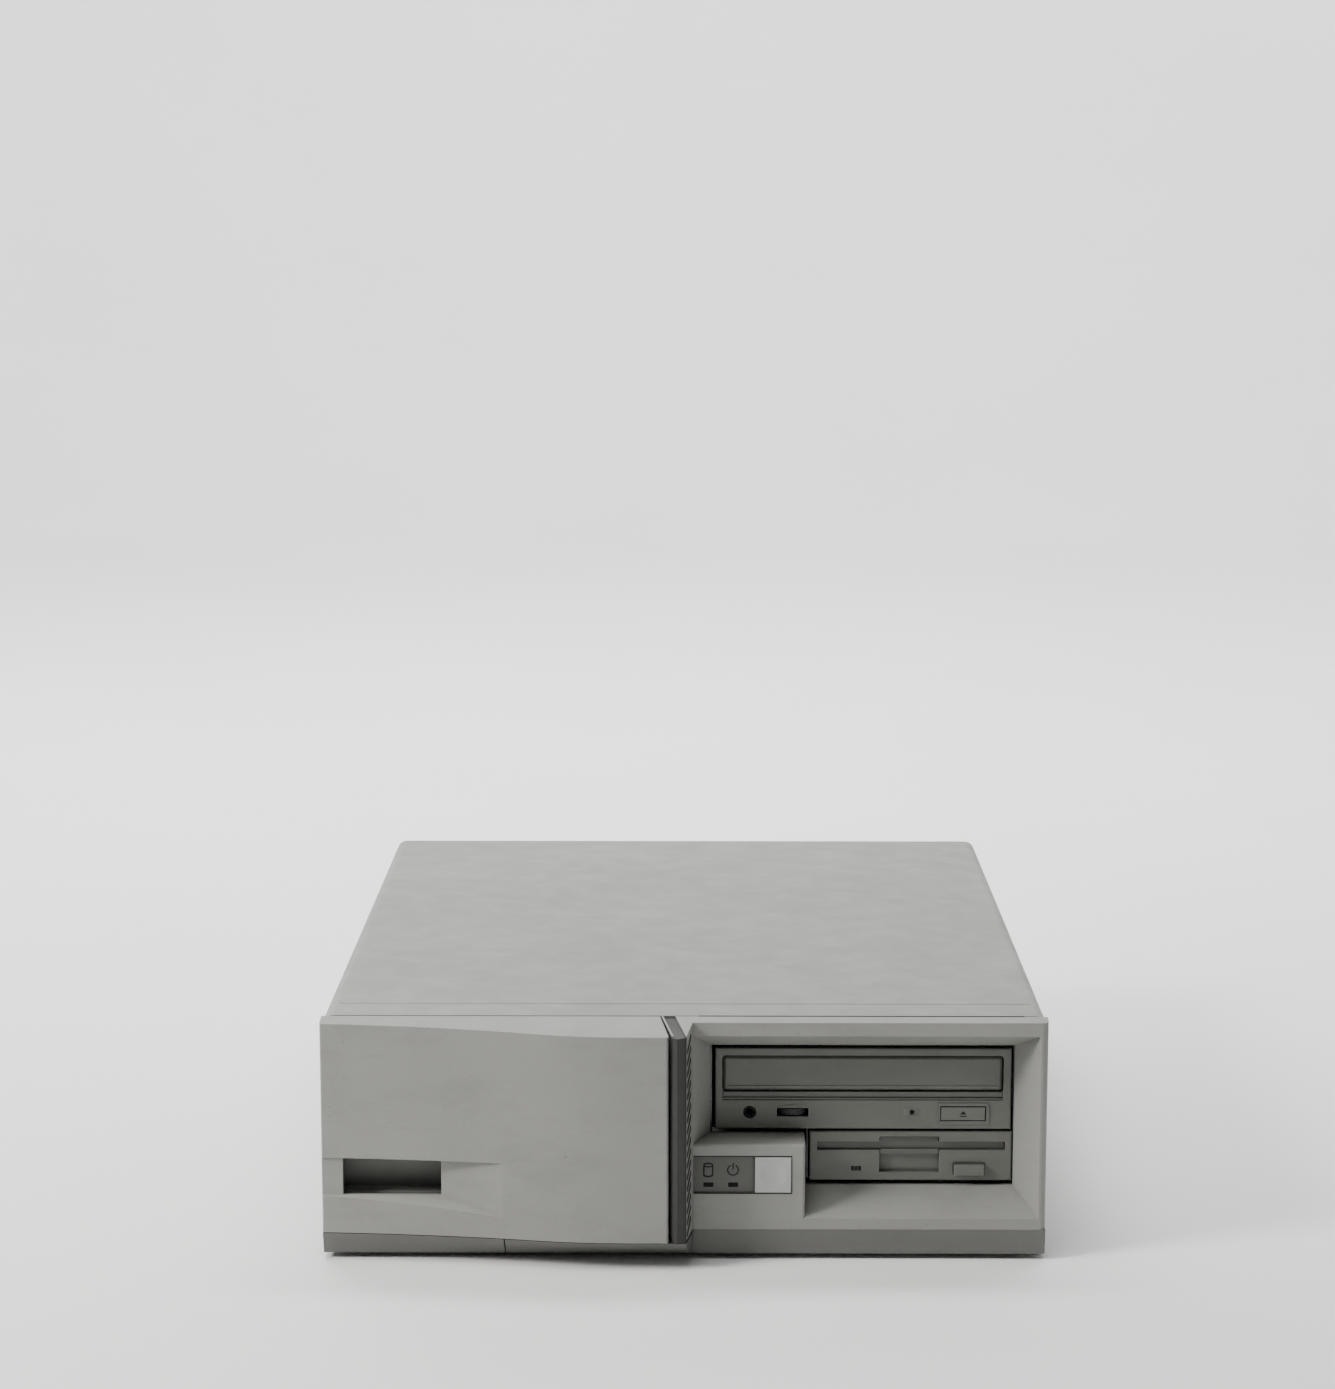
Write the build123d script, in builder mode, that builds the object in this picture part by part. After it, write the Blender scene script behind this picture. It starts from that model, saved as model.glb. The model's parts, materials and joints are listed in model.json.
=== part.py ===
from build123d import *
import math
import os

# A low, wide desktop computer of the late 1990s. Millimetres, +Z up, the front faces -Y.
# The origin is under the middle of the case, on the surface that it stands on.
# A bulging door covers the left half of the front. A sunken bay on the right half holds a
# compact-disc drive over a diskette drive, beside a box with the power button and its lamps.

os.makedirs("parts", exist_ok=True)

# ---------------------------------------------------------------- driving dimensions
HALF_W = 179.5                # half the width over the cover
HALF_L = 224.5                # half the length, from the door's bulge to the rear sockets
BULGE = 18.5                  # how far the bulge stands out of the bezel's front plane
PORT_REACH = 6.0              # how far the rear sockets stand out of the rear panel
FRONT = BULGE - HALF_L        # the plane of the bezel's front face
REAR = HALF_L - PORT_REACH    # outer face of the rear panel
SOLE = 3.0                    # height of the rubber feet
LID_TOP = 123.0               # the flat top that a monitor stands on
LID_FRONT = FRONT + 8.25      # front edge of the steel cover
SHEET = 1.0                   # chassis steel
COVER_SHEET = 1.2             # cover steel
WALL = 2.4                    # plastic wall

LIP_Z = 122.9                 # height of the sloping top of the front, at the cover's front edge
LIP_FALL = 0.145              # its fall for each millimetre towards the front
LEDGE_Z = 121.3               # the bezel's ledge under the cover
PLINTH_TOP = 14.3             # top of the plinth under the door
FRAME_FOOT = 16.0             # top of the plinth under the bay
PLINTH_SEAM = -88.8           # where the two lengths of plinth meet
BEZEL_BACK = FRONT + 22.0     # the bezel's back edge, against the steel front wall

BAY_FACE = FRONT + 20.0       # front plane of the two drives
BAY_MOUTH = (4.2, 175.6, 21.7, 114.9)         # left, right, bottom and top at the front
BAY_THROAT = (13.0, 164.8, 32.8, 105.0)       # the same at the drives
BOX_RIGHT, BOX_TOP = 60.1, 59.6               # the power button's box in the bay's corner

CD_LEFT, CD_FOOT, CD_W, CD_H = 15.5, 61.6, 148.0, 41.7
FD_LEFT, FD_FOOT, FD_W, FD_H = 62.8, 34.9, 101.4, 25.4
CD_BODY, FD_BODY = 196.0, 142.0               # lengths behind the bezels
DRIVE_PLATE = 5.0                             # thickness of both drive bezels

DOOR_RIGHT = -7.3             # the door's right edge at the front
DOOR_FOOT = 14.6
DOOR_BACK = FRONT + 7.6
PIVOT = (-9.6, FRONT - 15.6)  # the door's hinge line
PIN_R = 0.9

BOARD_X = (-150.0, 72.0)
BOARD_Y = (FRONT + 135.0, REAR - 3.0)
BOARD_Z = 12.0                # underside of the main board
BOARD_TOP = BOARD_Z + 1.6
STANDOFFS = [(x, y) for x in (-144.0, -28.0, 65.0) for y in (BOARD_Y[0] + 8, 60.0, BOARD_Y[1] - 22)]
PSU = (75.0, 175.0, FRONT + 234.0, REAR - SHEET, 4.3, 90.0)

LIP = Plane(origin=(0, LID_FRONT, LIP_Z), z_dir=(0, -LIP_FALL, 1))


def upright(y):
    """A sketch plane at depth y: its X and Y are the case's X and Z; it extrudes forwards."""
    return Plane.XZ.offset(-y)


def block(x0, x1, y0, y1, z0, z1, mode=Mode.ADD):
    """A box between two corners, in the part being built."""
    with Locations(((x0 + x1) / 2, (y0 + y1) / 2, (z0 + z1) / 2)):
        return Box(abs(x1 - x0), abs(y1 - y0), abs(z1 - z0), mode=mode)


def rod(x, y, z, radius, length, direction=(0, 0, 1), mode=Mode.ADD):
    """A cylinder that starts at a point and runs in a direction, in the part being built."""
    with Locations(Plane(origin=(x, y, z), z_dir=direction).location):
        return Cylinder(radius, length, align=(Align.CENTER, Align.CENTER, Align.MIN), mode=mode)


def keep_below(plane):
    """Cuts away what lies above a sloping plane."""
    with Locations(plane.location):
        Box(900, 900, 300, align=(Align.CENTER, Align.CENTER, Align.MAX), mode=Mode.INTERSECT)


def keep_above(plane):
    """Cuts away what lies under a sloping plane."""
    with Locations(plane.location):
        Box(900, 900, 300, align=(Align.CENTER, Align.CENTER, Align.MIN), mode=Mode.INTERSECT)


def funnel(front, rear, y_front, y_rear):
    """A straight-sided funnel between two upright rectangles (left, right, bottom, top)."""
    with BuildPart() as solid:
        for (left, right, bottom, top), y in ((front, y_front), (rear, y_rear)):
            with BuildSketch(upright(y)):
                with Locations(((left + right) / 2, (bottom + top) / 2)):
                    Rectangle(right - left, top - bottom)
        loft()
    return solid.part


def grown(rectangle, by):
    left, right, bottom, top = rectangle
    return (left - by, right + by, bottom - by, top + by)


def plan_prism(points, low, high):
    """An upright prism on a plan outline of straight runs."""
    with BuildPart() as solid:
        with BuildSketch(Plane.XY.offset(low)):
            with BuildLine():
                Polyline(*points, close=True)
            make_face()
        extrude(amount=high - low)
    return solid.part


def save(piece, name):
    """Names a finished piece and writes its file."""
    piece.part.label = name
    export_step(piece.part, f"parts/{name}.step")


# ================================================================ case: steel and feet
FOOT_PLACES = [(x, FRONT + y, 0) for x in (-150, 150) for y in (45, 395)]

with BuildPart() as feet:
    with Locations(FOOT_PLACES):
        Cone(8.5, 9.5, SOLE, align=(Align.CENTER, Align.CENTER, Align.MIN))
        Cylinder(3.5, 1.6, align=(Align.CENTER, Align.CENTER, Align.MIN), mode=Mode.SUBTRACT)
save(feet, "feet")

PAN_HALF = HALF_W - 2.7
FLOOR = SOLE + SHEET
WALL_Y = (BEZEL_BACK, BEZEL_BACK + SHEET)
PANEL_Y = (REAR - SHEET, REAR)
SKIRT_TOP = 26.0
SHEET_TOP = 121.0             # top of the front wall and the rear panel, under the cover
CORNER_CUT = 5.0              # their top corners are cut away from the cover's bends

with BuildPart() as base_pan:
    block(-PAN_HALF, PAN_HALF, WALL_Y[0], PANEL_Y[0], SOLE, FLOOR)
    for side in (-1, 1):
        block(side * PAN_HALF, side * (PAN_HALF - SHEET), WALL_Y[1], PANEL_Y[0], FLOOR, SKIRT_TOP)
    with BuildSketch(Plane.XY.offset(SOLE)):
        with Locations((105, FRONT + 110)):
            with GridLocations(9, 46, 9, 2):
                SlotOverall(34, 3.2, rotation=90)
    extrude(amount=SHEET, mode=Mode.SUBTRACT)
    # the wall behind the bezel, open for the drives and pierced for the intake air
    with BuildPart(mode=Mode.PRIVATE) as wall:
        block(-PAN_HALF, PAN_HALF, *WALL_Y, FLOOR, SHEET_TOP)
        chamfer(wall.edges().filter_by(Axis.Y).group_by(Axis.Z)[-1], CORNER_CUT)
        block(12.0, 166.5, *WALL_Y, 33.0, 106.0, mode=Mode.SUBTRACT)
        with BuildSketch(upright(WALL_Y[1])):
            for x, columns in ((-110, 9), (-35, 6)):
                with Locations((x, 70)):
                    with GridLocations(8, 8, columns, 7):
                        RegularPolygon(3.2, 6)
        extrude(amount=SHEET, mode=Mode.SUBTRACT)
    add(wall.part)
    # hexagonal posts for the main board
    for x, y in STANDOFFS:
        with BuildSketch(Plane.XY.offset(FLOOR)):
            with Locations((x, y)):
                RegularPolygon(3.2, 6)
        extrude(amount=BOARD_Z - FLOOR)
save(base_pan, "base_pan")

SLOT_Z = (48.0, 68.3, 88.6)   # the three expansion slots, one card lying over another
SLOT_X = (-118.0, -16.0)
PORTS_WINDOW = (-146.0, 60.0, BOARD_TOP - 0.4, 29.5)

with BuildPart() as rear_panel:
    block(-PAN_HALF, PAN_HALF, *PANEL_Y, SOLE, SHEET_TOP)
    chamfer(rear_panel.edges().filter_by(Axis.Y).group_by(Axis.Z)[-1], CORNER_CUT)
    block(PSU[0] + 4, PSU[1] - 4, *PANEL_Y, 9, 85, mode=Mode.SUBTRACT)
    for z in SLOT_Z:
        block(*SLOT_X, *PANEL_Y, z - 6, z + 6, mode=Mode.SUBTRACT)
    block(*PORTS_WINDOW[:2], *PANEL_Y, *PORTS_WINDOW[2:], mode=Mode.SUBTRACT)
    with BuildSketch(upright(REAR)):
        with Locations((122, 104)):
            with GridLocations(7, 7, 12, 3):
                Circle(2.2)
        with Locations((33, 66)):
            with GridLocations(7, 7, 9, 7):
                Circle(2.2)
        with Locations((-148, 62)):
            SlotOverall(7.0, 3.0)
    extrude(amount=SHEET, mode=Mode.SUBTRACT)
save(rear_panel, "rear_panel")

# the cover: a top and two sides bent from one sheet, with a fine crease pressed across its front
COVER_FOOT = 5.5
COVER_BACK = REAR + 1.4
CREASE_Y, CREASE_W, CREASE_DEPTH = FRONT + 31.2, 0.8, 0.35
CREST = 6.0

with BuildPart() as top_cover:
    with BuildSketch(upright(COVER_BACK)):
        with BuildLine():
            FilletPolyline(
                (-HALF_W, COVER_FOOT), (-HALF_W, LID_TOP), (HALF_W, LID_TOP), (HALF_W, COVER_FOOT),
                radius=CREST,
            )
            offset(amount=-COVER_SHEET, side=Side.RIGHT)
        make_face()
    extrude(amount=COVER_BACK - LID_FRONT)
    # the sides start behind the bezel; only the top reaches forward over its ledge
    for side in (-1, 1):
        block(side * 150, side * 190, LID_FRONT - 1, BEZEL_BACK + 0.4, 0, LID_TOP - CREST - 0.2,
              mode=Mode.SUBTRACT)
    # the back edge is folded down behind the rear panel, with a lug for each screw
    block(-HALF_W + 8, HALF_W - 8, COVER_BACK - 1.0, COVER_BACK, 112.5, LID_TOP - COVER_SHEET)
    block(CREST - HALF_W, HALF_W - CREST, CREASE_Y - CREASE_W / 2, CREASE_Y + CREASE_W / 2,
          LID_TOP - CREASE_DEPTH, LID_TOP + 1, mode=Mode.SUBTRACT)
save(top_cover, "top_cover")


# ================================================================ front bezel
# plan outlines are in (X, distance behind the front plane)
COLUMN_RIGHT = 4.2            # the column's right face where it meets the front plane
COLUMN = [
    (-6.0, -16.0), (1.2, -16.0), (1.2, -17.5), (COLUMN_RIGHT, 0.0), (COLUMN_RIGHT, 22.0),
    (-11.2, 22.0), (-11.2, 8.25),
]
COLUMN_HOLLOW = [(-3.6, -13.5), (-0.4, -13.5), (1.7, -1.0), (1.7, 24.0), (-8.8, 24.0), (-8.8, 6.0)]
GROOVE = [(1.2, -17.0), (-4.4, 8.25), (-10.3, 8.25), (-5.1, -16.0)]
TRIM = [(-6.0, -16.0), (-6.1, -16.6), (-3.4, -18.5), (1.1, -16.9), (1.1, -16.0)]
GROOVE_DEPTH, TRIM_SUNK = 2.4, 0.7
FRAME_R = 3.0                 # rounding of the frame's right-hand edge
LOUVRES, LOUVRE_PITCH, LOUVRE_TILT = 17, 5.8, 31
ARM_HALF = 1.4                # half the width of a hinge arm
ARM_Z = [(24.0, 27.0), (104.0, 107.0)]
BUTTON_HOLE = (34.8, 53.6, 34.6, 53.4)
PANEL_HOLE = (4.9, 34.4, 34.6, 53.4)
LAMP_X, LAMP_Z = (12.1, 24.4), 38.6
DOOR_CURVE = [(-179.5, -2.2), (-150.0, -4.1), (-118.0, -7.3), (-85.0, -12.0), (-62.0, -15.9), (-44.0, -17.6)]
DOOR_CORNER = (DOOR_RIGHT, -18.1)
DOOR_HEEL = (-11.9, 7.6)      # the door's right-hand end, at its back


def placed(points):
    """Plan points moved from the front plane to the case's frame."""
    return [(x, FRONT + y) for x, y in points]


def frame_block():
    """The bezel's outline: a wall behind the door, the column and the right-hand frame."""
    with BuildPart() as solid:
        with BuildSketch(Plane.XY.offset(FRAME_FOOT)):
            with BuildLine():
                Polyline(
                    (-HALF_W, LID_FRONT), *placed(COLUMN[-1:] + COLUMN[:4]),
                    (HALF_W, FRONT), (HALF_W, BEZEL_BACK), (-HALF_W, BEZEL_BACK), close=True,
                )
            make_face()
        extrude(amount=LID_TOP - FRAME_FOOT)
        keep_below(LIP)
        corner = solid.edges().filter_by(Axis.Z).group_by(Axis.X)[-1].sort_by(Axis.Y)[0]
        fillet(corner, FRAME_R)
        # the ledge under the cover, clear of the cover's rounded bends
        with BuildSketch(upright(FRONT + 60)):
            with BuildLine():
                Polyline(
                    (-200, 115.6), (-HALF_W, 115.6), (9 - HALF_W, LEDGE_Z), (HALF_W - 9, LEDGE_Z),
                    (HALF_W, 115.6), (200, 115.6), (200, 140), (-200, 140), close=True,
                )
            make_face()
        extrude(amount=FRONT + 60 - LID_FRONT + 0.4, mode=Mode.SUBTRACT)
    return solid.part


def control_box():
    """The block in the bay's corner, rounded along its top and right-hand edges."""
    with BuildPart() as solid:
        block(3.0, BOX_RIGHT, FRONT, BEZEL_BACK, FRAME_FOOT + 1, BOX_TOP)
        top_edge = solid.edges().filter_by(Axis.X).group_by(Axis.Z)[-1].sort_by(Axis.Y)[0]
        side_edge = solid.edges().filter_by(Axis.Z).group_by(Axis.X)[-1].sort_by(Axis.Y)[0]
        fillet([top_edge, side_edge], 1.5)
        block(8.0, BOX_RIGHT - 2, FRONT + 5, BEZEL_BACK, FRAME_FOOT, BOX_TOP - 2, mode=Mode.SUBTRACT)
        block(*BUTTON_HOLE[:2], FRONT - 1, FRONT + 8, *BUTTON_HOLE[2:], mode=Mode.SUBTRACT)
        for x in LAMP_X:
            block(x - 2.5, x + 2.5, FRONT, FRONT + 8, LAMP_Z - 1.2, LAMP_Z + 1.2, mode=Mode.SUBTRACT)
    return solid.part


def hinge_arms():
    """Two flat arms that reach from the column through slots in the door's end to the hinge pins."""
    with BuildPart() as solid:
        for low, high in ARM_Z:
            block(PIVOT[0] - ARM_HALF, PIVOT[0] + ARM_HALF, PIVOT[1], LID_FRONT + 4, low, high)
            rod(*PIVOT, low, ARM_HALF, high - low)
            rod(*PIVOT, low - 1, PIN_R + 0.05, high - low + 2, mode=Mode.SUBTRACT)
    return solid.part


CUP = (-170.5, -118.5, 32.5, 54.5)            # the hollow behind the door's finger hole
CUP_BACK = FRONT + 19.0
vent_wall = Plane(
    origin=(1.2 + (COLUMN_RIGHT - 1.2) * 6.2 / 17.5, FRONT - 11.3, 66.5),
    x_dir=(COLUMN_RIGHT - 1.2, 17.5, 0),
    z_dir=(17.5, 1.2 - COLUMN_RIGHT, 0),
)

with BuildPart() as front_bezel:
    add(frame_block())
    # hollow behind the walls, open at the back
    block(-HALF_W + WALL, -13.5, LID_FRONT + WALL, BEZEL_BACK, FRAME_FOOT, LEDGE_Z - WALL,
          mode=Mode.SUBTRACT)
    block(COLUMN_RIGHT - 0.6, HALF_W - WALL, FRONT + WALL, BEZEL_BACK, FRAME_FOOT, LEDGE_Z - WALL - 2,
          mode=Mode.SUBTRACT)
    add(plan_prism(placed(COLUMN_HOLLOW), FRAME_FOOT + 3, LEDGE_Z - 6), mode=Mode.SUBTRACT)
    # the funnel down to the drives
    add(funnel(grown(BAY_MOUTH, 1.8), grown(BAY_THROAT, 1.8), FRONT + 0.5, BEZEL_BACK))
    add(funnel(BAY_MOUTH, BAY_THROAT, FRONT - 0.01, BAY_FACE), mode=Mode.SUBTRACT)
    block(*BAY_THROAT[:2], BAY_FACE - 0.5, BEZEL_BACK, *BAY_THROAT[2:], mode=Mode.SUBTRACT)
    add(control_box())
    block(*PANEL_HOLE[:2], FRONT - 1, FRONT + 3, *PANEL_HOLE[2:], mode=Mode.SUBTRACT)
    # air intakes: slanted louvres in the column's right face, and slots behind the door
    with BuildSketch(vent_wall):
        with GridLocations(1, LOUVRE_PITCH, 1, LOUVRES):
            SlotOverall(8.5, 2.2, rotation=LOUVRE_TILT)
    extrude(amount=-4, mode=Mode.SUBTRACT)
    with BuildSketch(upright(LID_FRONT + WALL)):
        for x in (-145, -60):
            with Locations((x, 84)):
                with GridLocations(7, 26, 9, 2):
                    SlotOverall(20, 3.0, rotation=90)
    extrude(amount=WALL + 1, mode=Mode.SUBTRACT)
    # the closed cup that fingers reach into through the door
    block(*(CUP[0] - 2, CUP[1] + 2), LID_FRONT, CUP_BACK + 2, CUP[2] - 2, CUP[3] + 2)
    block(*CUP[:2], LID_FRONT - 1, CUP_BACK, *CUP[2:], mode=Mode.SUBTRACT)
    # the groove for the trim strip
    with BuildPart(mode=Mode.PRIVATE) as groove:
        add(plan_prism(placed(GROOVE + [(-5.1, -30.0), (1.2, -30.0)]), 100, 140))
        keep_above(LIP.offset(-GROOVE_DEPTH))
    add(groove.part, mode=Mode.SUBTRACT)
    add(hinge_arms())
    # the hinge pins' holes
    for low, high in ARM_Z:
        rod(*PIVOT, low - 1, PIN_R + 0.05, high - low + 2, mode=Mode.SUBTRACT)
save(front_bezel, "front_bezel")

with BuildPart() as trim_strip:
    add(plan_prism(placed(TRIM), FRAME_FOOT - 1.4, 140))
    keep_below(LIP.offset(-TRIM_SUNK))
    with BuildPart(mode=Mode.PRIVATE) as cap:
        add(plan_prism(placed(GROOVE + [(-5.1, -17.2)]), 100, 140))
        keep_above(LIP.offset(-GROOVE_DEPTH))
        keep_below(LIP.offset(-TRIM_SUNK))
    add(cap.part)
save(trim_strip, "trim_strip")


def door_outline():
    """The door's plan outline: the ogee of the front, the slanted end and a straight back."""
    Spline(*placed(DOOR_CURVE + [DOOR_CORNER]), tangents=((1, -0.04), (1, 0)))
    Polyline(*placed([DOOR_CORNER, DOOR_HEEL]), (-HALF_W, DOOR_BACK), placed(DOOR_CURVE)[0])


def door_hollow_outline(skin):
    """The same ogee a skin's thickness further in, open at the back."""
    curve = [(x, y + skin) for x, y in DOOR_CURVE]
    curve[0] = (-HALF_W + skin, DOOR_CURVE[0][1] + skin)
    corner = (DOOR_CORNER[0] - 1.2 * skin, DOOR_CORNER[1] + skin)
    heel = (DOOR_HEEL[0] - skin, DOOR_HEEL[1] + skin)
    Spline(*placed(curve + [corner]), tangents=((1, -0.04), (1, 0)))
    Polyline(*placed([corner, heel, (-HALF_W + skin, heel[1]), curve[0]]))


# ---------------------------------------------------------------- plinth, undercut below the door
# the curved length under the door runs 3 mm into the straight length under the bay
LAP_RIGHT = COLUMN_RIGHT + 3.0                # the left length's end, inside the right one
with BuildPart() as left_plinth_form:
    with BuildSketch(Plane.XY.offset(PLINTH_TOP)):
        with BuildLine():
            Spline(*placed(DOOR_CURVE + [(1.2, -17.9)]), tangents=((1, -0.04), (1, 0)))
            Polyline(
                *placed([
                    (1.2, -17.9), (COLUMN_RIGHT, 0.3), (LAP_RIGHT, 3.0), (LAP_RIGHT, 22.0),
                    (-HALF_W, 22.0), DOOR_CURVE[0],
                ]),
            )
        make_face()
    with BuildSketch(Plane.XY.offset(SOLE)):
        with BuildLine():
            Polyline(
                *placed([
                    (-HALF_W, 1.5), (1.2, 1.5), (COLUMN_RIGHT, 1.8), (LAP_RIGHT, 3.0), (LAP_RIGHT, 22.0),
                    (-HALF_W, 22.0),
                ]),
                close=True,
            )
        make_face()
    loft(ruled=True)

with BuildPart() as plinth:
    add(left_plinth_form.part)
    with BuildSketch(Plane.YZ.offset(COLUMN_RIGHT)):
        with BuildLine():
            Polyline(
                (FRONT, FRAME_FOOT), (BEZEL_BACK, FRAME_FOOT), (BEZEL_BACK, SOLE), (FRONT + 1.5, SOLE),
                close=True,
            )
        make_face()
    extrude(amount=HALF_W - COLUMN_RIGHT)
    # the two lengths meet in an open seam
    block(PLINTH_SEAM - 0.3, PLINTH_SEAM + 0.3, FRONT - 30, BEZEL_BACK, 0, 30, mode=Mode.SUBTRACT)
save(plinth, "plinth")


# ================================================================ front door
DOOR_SKIN = 2.0
SCOOP_TOP, SCOOP_FOOT = 53.0, 34.0            # the finger scoop's floor, between these heights
SCOOP_FLOOR = -1.5                            # its depth behind the front plane
SCOOP_RAMP = (-120.3, -88.8)                  # it ramps up to the door's face between these
FINGER_HOLE = (-169.0, -120.3)
NOTCH = 0.5                                   # clearance of the hinge arms in the door

with BuildPart() as front_door:
    with BuildSketch(Plane.XY.offset(DOOR_FOOT)):
        with BuildLine():
            door_outline()
        make_face()
    extrude(amount=LID_TOP + 2 - DOOR_FOOT)
    keep_below(LIP)
    upright_edges = front_door.edges().filter_by(Axis.Z)
    fillet(upright_edges.sort_by(Axis.Y)[0], 1.3)
    fillet(front_door.edges().filter_by(Axis.Z).group_by(Axis.X)[0].sort_by(Axis.Y)[0], 1.0)
    # hollow behind the skin, open at the back
    with BuildPart(mode=Mode.PRIVATE) as hollow:
        with BuildSketch(Plane.XY.offset(DOOR_FOOT + DOOR_SKIN)):
            with BuildLine():
                door_hollow_outline(DOOR_SKIN)
            make_face()
        extrude(amount=LID_TOP - DOOR_FOOT)
        keep_below(LIP.offset(-DOOR_SKIN))
        # material is left behind the finger scoop and round the hinge pins
        block(-HALF_W - 1, SCOOP_RAMP[1] + 5, FRONT - 30, FRONT + SCOOP_FLOOR + DOOR_SKIN,
              SCOOP_FOOT - 13, SCOOP_TOP + 3, mode=Mode.SUBTRACT)
        for low, high in ARM_Z:
            block(PIVOT[0] - 3.2, 0, FRONT - 30, PIVOT[1] + 3.6, low - 6, high + 6, mode=Mode.SUBTRACT)
    add(hollow.part, mode=Mode.SUBTRACT)
    with BuildPart(mode=Mode.PRIVATE) as scoop:
        floor_y = SCOOP_FLOOR
        ramp_out = -11.4
        run = SCOOP_RAMP[1] - SCOOP_RAMP[0]
        past = 30.0
        add(plan_prism(placed([
            (-HALF_W - 5, floor_y), (SCOOP_RAMP[0], floor_y), (SCOOP_RAMP[1], ramp_out),
            (SCOOP_RAMP[1] + past, ramp_out - past * (floor_y - ramp_out) / run), (-HALF_W - 5, -60),
        ]), SCOOP_FOOT - 30, SCOOP_TOP))
        chamfer_plane = Plane(origin=(0, FRONT + floor_y, SCOOP_FOOT), z_dir=(0, -0.9, 1))
        keep_above(chamfer_plane)
    add(scoop.part, mode=Mode.SUBTRACT)
    block(*FINGER_HOLE, FRONT - 20, DOOR_BACK, SCOOP_FOOT, SCOOP_TOP, mode=Mode.SUBTRACT)
    # slots in the end wall for the hinge arms, and holes for the pins
    for low, high in ARM_Z:
        block(PIVOT[0] - ARM_HALF - NOTCH, 0, PIVOT[1] - ARM_HALF - NOTCH / 2, DOOR_BACK + 1,
              low - NOTCH, high + NOTCH, mode=Mode.SUBTRACT)
        rod(*PIVOT, low - 5, PIN_R, high - low + 10, mode=Mode.SUBTRACT)
save(front_door, "front_door")

with BuildPart() as door_hinge_pins:
    for low, high in ARM_Z:
        rod(*PIVOT, low - 5, PIN_R, high - low + 10)
save(door_hinge_pins, "door_hinge_pins")


# ================================================================ power button and lamps
BUTTON = (35.1, 53.2, 34.9, 53.1)
BUTTON_TRAVEL = 2.5
DISH_R, DISH_DEPTH = 6.6, 0.9
SWITCH_FACE = FRONT + 14.5

with BuildPart() as control_panel:
    block(*PANEL_HOLE[:2], FRONT + 1.0, FRONT + 3.0, *PANEL_HOLE[2:])
    for x in LAMP_X:
        block(x - 2.5, x + 2.5, FRONT, FRONT + 4, LAMP_Z - 1.2, LAMP_Z + 1.2, mode=Mode.SUBTRACT)
    # the disk sign and the power sign are sunk into the face
    with BuildSketch(upright(FRONT + 1.3)):
        with Locations((LAMP_X[0], 46.2)):
            with Locations((0, 2.4)):
                Ellipse(2.2, 1.0)
                Ellipse(1.7, 0.6, mode=Mode.SUBTRACT)
            SlotOverall(7.0, 4.4, rotation=90)
            SlotOverall(6.2, 3.6, rotation=90, mode=Mode.SUBTRACT)
            with Locations((0, 2.4)):
                Ellipse(2.2, 1.0)
                Ellipse(1.7, 0.6, mode=Mode.SUBTRACT)
        with Locations((LAMP_X[1], 46.2)):
            Circle(2.9)
            Circle(2.4, mode=Mode.SUBTRACT)
            with Locations((0, 2.4)):
                Rectangle(2.0, 2.0, mode=Mode.SUBTRACT)
            with Locations((0, 1.9)):
                Rectangle(0.55, 3.4)
    extrude(amount=1, mode=Mode.SUBTRACT)
save(control_panel, "control_panel")

with BuildPart() as power_button:
    block(*BUTTON[:2], FRONT - 0.6, FRONT + 6.5, *BUTTON[2:])
    fillet(power_button.faces().sort_by(Axis.Y)[0].edges(), 0.6)
    dish_r = (DISH_R**2 + DISH_DEPTH**2) / (2 * DISH_DEPTH)
    with Locations(((BUTTON[0] + BUTTON[1]) / 2, FRONT - 0.6 + DISH_DEPTH - dish_r, 44.0)):
        Sphere(dish_r, mode=Mode.SUBTRACT)
    block(41, 47, FRONT + 6.5, SWITCH_FACE - BUTTON_TRAVEL - 0.3, 41, 47)
save(power_button, "power_button")

with BuildPart() as power_switch:
    block(36, 52, SWITCH_FACE, WALL_Y[0], 37, 51)
    block(42, 46, SWITCH_FACE - 0.2, SWITCH_FACE, 42, 46)
    for x in (38, 50):
        rod(x, SWITCH_FACE, 44, 1.2, 0.8, (0, -1, 0))
save(power_switch, "power_switch")

# ================================================================ compact-disc drive
CD = (CD_LEFT, CD_LEFT + CD_W, CD_FOOT, CD_FOOT + CD_H)
CD_SIDE = 1.0                                  # the drive's can is this much narrower than its bezel
CD_Y = (BAY_FACE + DRIVE_PLATE, BAY_FACE + DRIVE_PLATE + CD_BODY)
TRAY_FACE = (19.6, 158.9, 81.4, 98.9)
TRAY_GAP = 0.6
TRAY_Z = (84.2, 89.4)                          # underside and top of the tray
CD_MID = (CD[0] + CD[1]) / 2
DISC_Y = BAY_FACE + 84.0
JACK = (32.8, 70.2)
JACK_R = 1.78                                  # bore for a 3.5 mm plug
WHEEL = (54.3, 70.2)
WHEEL_R, WHEEL_Y = 8.2, BAY_FACE + 8.4
CD_LAMP = (114.1, 70.4)
CD_KEY = (128.6, 150.6, 66.4, 73.2)

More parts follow.
